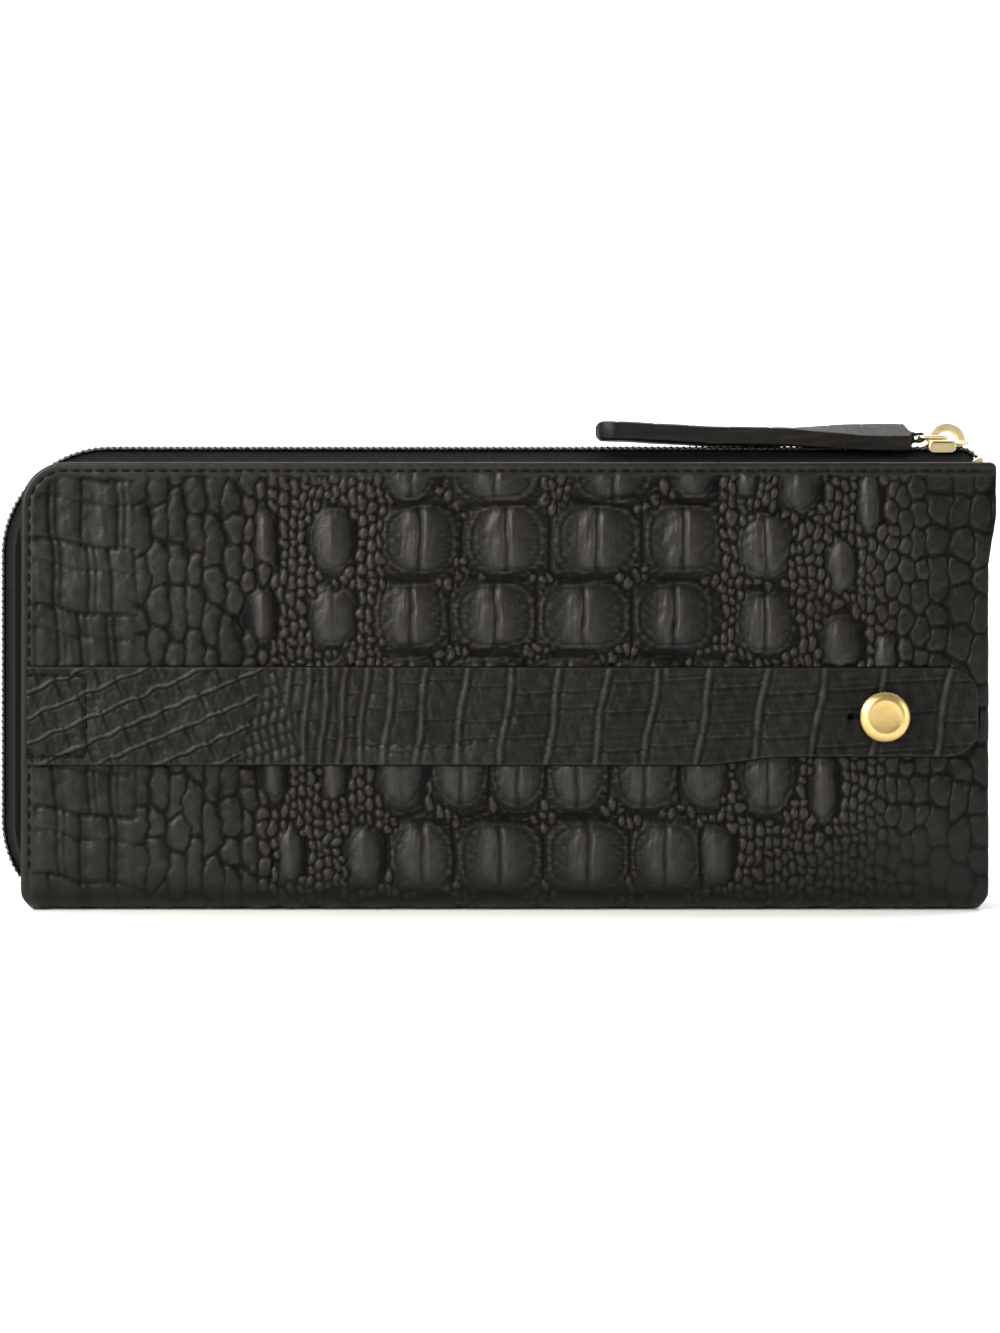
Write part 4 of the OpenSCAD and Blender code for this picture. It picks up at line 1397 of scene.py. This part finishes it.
def soft_panel(body, node, material, cornered=False, divided=False, seed=0):
    """A thin sewn panel: hemmed top, sunk stitch lines, soft edges and a slight waviness."""
    low, high = node_box(node)
    rows, columns = 120, 190
    rim = 0.9
    z_line = np.concatenate([[low[2]], np.linspace(low[2] + 0.3, high[2] - 0.3, rows - 2), [high[2]]])
    x_left = lining_left(z_line, low[0]) if cornered else np.full(rows, low[0])
    share = np.concatenate([[0.0, 0.0015], np.linspace(0.003, 0.997, columns - 4), [0.9985, 1.0]])
    x = x_left[:, None] + share[None, :] * (high[0] - x_left)[:, None]
    z = np.repeat(z_line[:, None], columns, 1)
    edge = np.minimum(np.minimum(x - x_left[:, None], high[0] - x), np.minimum(z - low[2], high[2] - z))
    from_top = high[2] - z
    middle, half = (low[1] + high[1]) / 2, (high[1] - low[1]) / 2
    thin = 0.74 + 0.26 * smooth((3.4 - from_top) / 0.5) - 0.22 * bell((from_top - 2.4) / 0.3)
    sides = np.minimum(x - x_left[:, None], high[0] - x)
    thin = thin - 0.22 * bell((sides - 1.8) / 0.3)
    if divided:
        thin = thin - 0.30 * bell((x - (low[0] + high[0]) / 2) / 0.35)
    near = np.clip(edge / rim, 0, 1)
    thin = thin * (0.35 + 0.65 * np.sqrt(1 - (1 - near) ** 2))
    sway = 0.10 * half * waves(x, z, 30, 50 + seed) * smooth(edge / 6)
    front = np.stack([x, middle - half * thin + sway, z], -1).reshape(-1, 3)
    back = np.stack([x, middle + half * thin + sway, z], -1).reshape(-1, 3)
    grid = np.arange(rows * columns).reshape(rows, columns)
    loop = boundary(grid)
    count = rows * columns
    faces = grid_faces(rows, columns) + grid_faces(rows, columns, count, flip=True)
    for k, here in enumerate(loop):
        there = loop[(k + 1) % len(loop)]
        faces.append([int(there), int(here), int(here) + count, int(there) + count])
    piece = new_object(node + "_sewn", np.concatenate([front, back]), faces, material)
    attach(piece, body)
    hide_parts(node)


def soft_insides():
    """Linings, pockets and card rows."""
    soft_panel("front_cover", "front_lining", LINING, cornered=True, seed=1)
    soft_panel("back_cover", "back_lining", LINING, cornered=True, seed=2)
    soft_panel("front_cover", "slip_pocket", LINING, seed=3)
    for n in range(1, 5):
        soft_panel("back_cover", f"card_row_{n}", INNER, divided=True, seed=3 + n)
    soft_panel("coin_leaf", "coin_front_wall", INNER, seed=8)
    soft_panel("coin_leaf", "coin_back_wall", INNER, seed=9)
    low, high = node_box("coin_edge_fold")
    wall_low, _ = node_box("coin_front_wall")
    fold = 0.6
    middle = (low[1] + high[1]) / 2
    across = round_rectangle(low[0], high[0], low[1], high[1], 0.25, 2)
    parts = [prism(across, wall_low[2], wall_low[2] + fold)]
    for x in (low[0], high[0] - fold):
        parts.append(prism(round_rectangle(x, x + fold, low[1], high[1], 0.2, 2), wall_low[2], high[2]))
    parts.append(prism(round_rectangle(low[0], high[0], middle - fold / 2, middle + fold / 2, 0.2, 2),
                       low[2], wall_low[2] + 0.1))
    bevelled("coin_fold_sewn", parts, INNER, 0.12, "coin_leaf", "coin_edge_fold", 2)


def repaint():
    """Puts the finished materials on the CAD nodes that keep their own shape."""
    plan = {
        BOARD: ["front_board", "back_board"],
        TAPE: ["coin_zip_tape_front", "coin_zip_tape_back"],
        NYLON: ["coin_zip_coil"],
        GOLD: ["zip_bottom_stop", "zip_top_stop_front", "zip_top_stop_back", "coin_slider", "coin_puller"],
        BRASS: ["stud_post", "stud_washer"],
    }
    for material, nodes in plan.items():
        for node in nodes:
            node_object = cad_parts[node]
            for slot in node_object.material_slots:
                slot.material = material


strap()
stitches()
zip_chain()
slider()
ring()
stud()
pull_tab()
gusset()
soft_insides()
repaint()


# ---------------------------------------------------------------- stage, light and camera
CAMERA_X, CAMERA_Z = -1.9, 70.0
CENTRE_Z = 54.0
CAMERA_AWAY = 548.0
FRAME_TALL = 293.3
SENSOR = 36.0


def stage_material():
    n = Nodes("paper_sweep", Specular_IOR_Level=0.1)
    n.colour(n.ramp(n.noise(6.0, 2.0), [(0.3, (0.76, 0.76, 0.76)), (0.7, (0.80, 0.80, 0.80))]))
    n.rough(0.9)
    return n.material


def sweep():
    """Pale floor that curves up into a backdrop far behind."""
    half, front, back, radius, tall = 4000.0, -6000.0, 1100.0, 500.0, 2200.0
    line = [(front, 0.0), (back - radius, 0.0)]
    for k in range(1, 13):
        a = k / 12 * math.pi / 2
        line.append((back - radius + radius * math.sin(a), radius - radius * math.cos(a)))
    line.append((back, tall))
    points = [(x, y, z) for y, z in line for x in (-half, half)]
    floor = new_object("floor", points, grid_faces(len(line), 2, flip=True), stage_material())


def area_light(name, place, aim, width, height, power, colour=(1.0, 1.0, 1.0)):
    lamp = bpy.data.lights.new(name, "AREA")
    lamp.shape = "RECTANGLE"
    lamp.size, lamp.size_y = width * MM, height * MM
    lamp.energy = power
    lamp.color = colour
    lamp_object = bpy.data.objects.new(name, lamp)
    bpy.context.scene.collection.objects.link(lamp_object)
    lamp_object.location = Vector(place) * MM
    direction = Vector(aim) - Vector(place)
    lamp_object.rotation_euler = direction.to_track_quat("-Z", "Y").to_euler()


def lights():
    warm, wallet = (1.0, 0.965, 0.89), (0, 0, 55)
    area_light("softbox_left", (-560, -800, 480), wallet, 620, 700, 11.5, warm)
    area_light("key_left", (-620, -300, 430), wallet, 320, 380, 5.0, warm)
    area_light("fill_right", (760, -300, 240), wallet, 300, 400, 1.6)
    area_light("overhead", (0, 1000, 1500), (0, 600, 0), 3000, 1800, 50.0)
    area_light("backdrop_wash", (0, 300, 2000), (0, 1100, 700), 3000, 600, 40.0)
    world = bpy.data.worlds.new("studio")
    world.use_nodes = True
    background = world.node_tree.nodes["Background"]
    background.inputs["Color"].default_value = (1.0, 1.0, 1.0, 1.0)
    background.inputs["Strength"].default_value = 0.40
    bpy.context.scene.world = world
    bpy.context.scene.view_settings.view_transform = "Standard"


def camera():
    lens = bpy.data.cameras.new("camera")
    lens.sensor_width = SENSOR
    lens.lens = SENSOR * CAMERA_AWAY / FRAME_TALL
    lens.shift_y = (CENTRE_Z - CAMERA_Z) / FRAME_TALL
    lens.clip_end = 20.0
    eye = bpy.data.objects.new("camera", lens)
    bpy.context.scene.collection.objects.link(eye)
    eye.location = Vector((CAMERA_X, FRONT_Y - CAMERA_AWAY, CAMERA_Z)) * MM
    eye.rotation_euler = (math.pi / 2, 0, 0)
    bpy.context.scene.camera = eye


sweep()
lights()
camera()
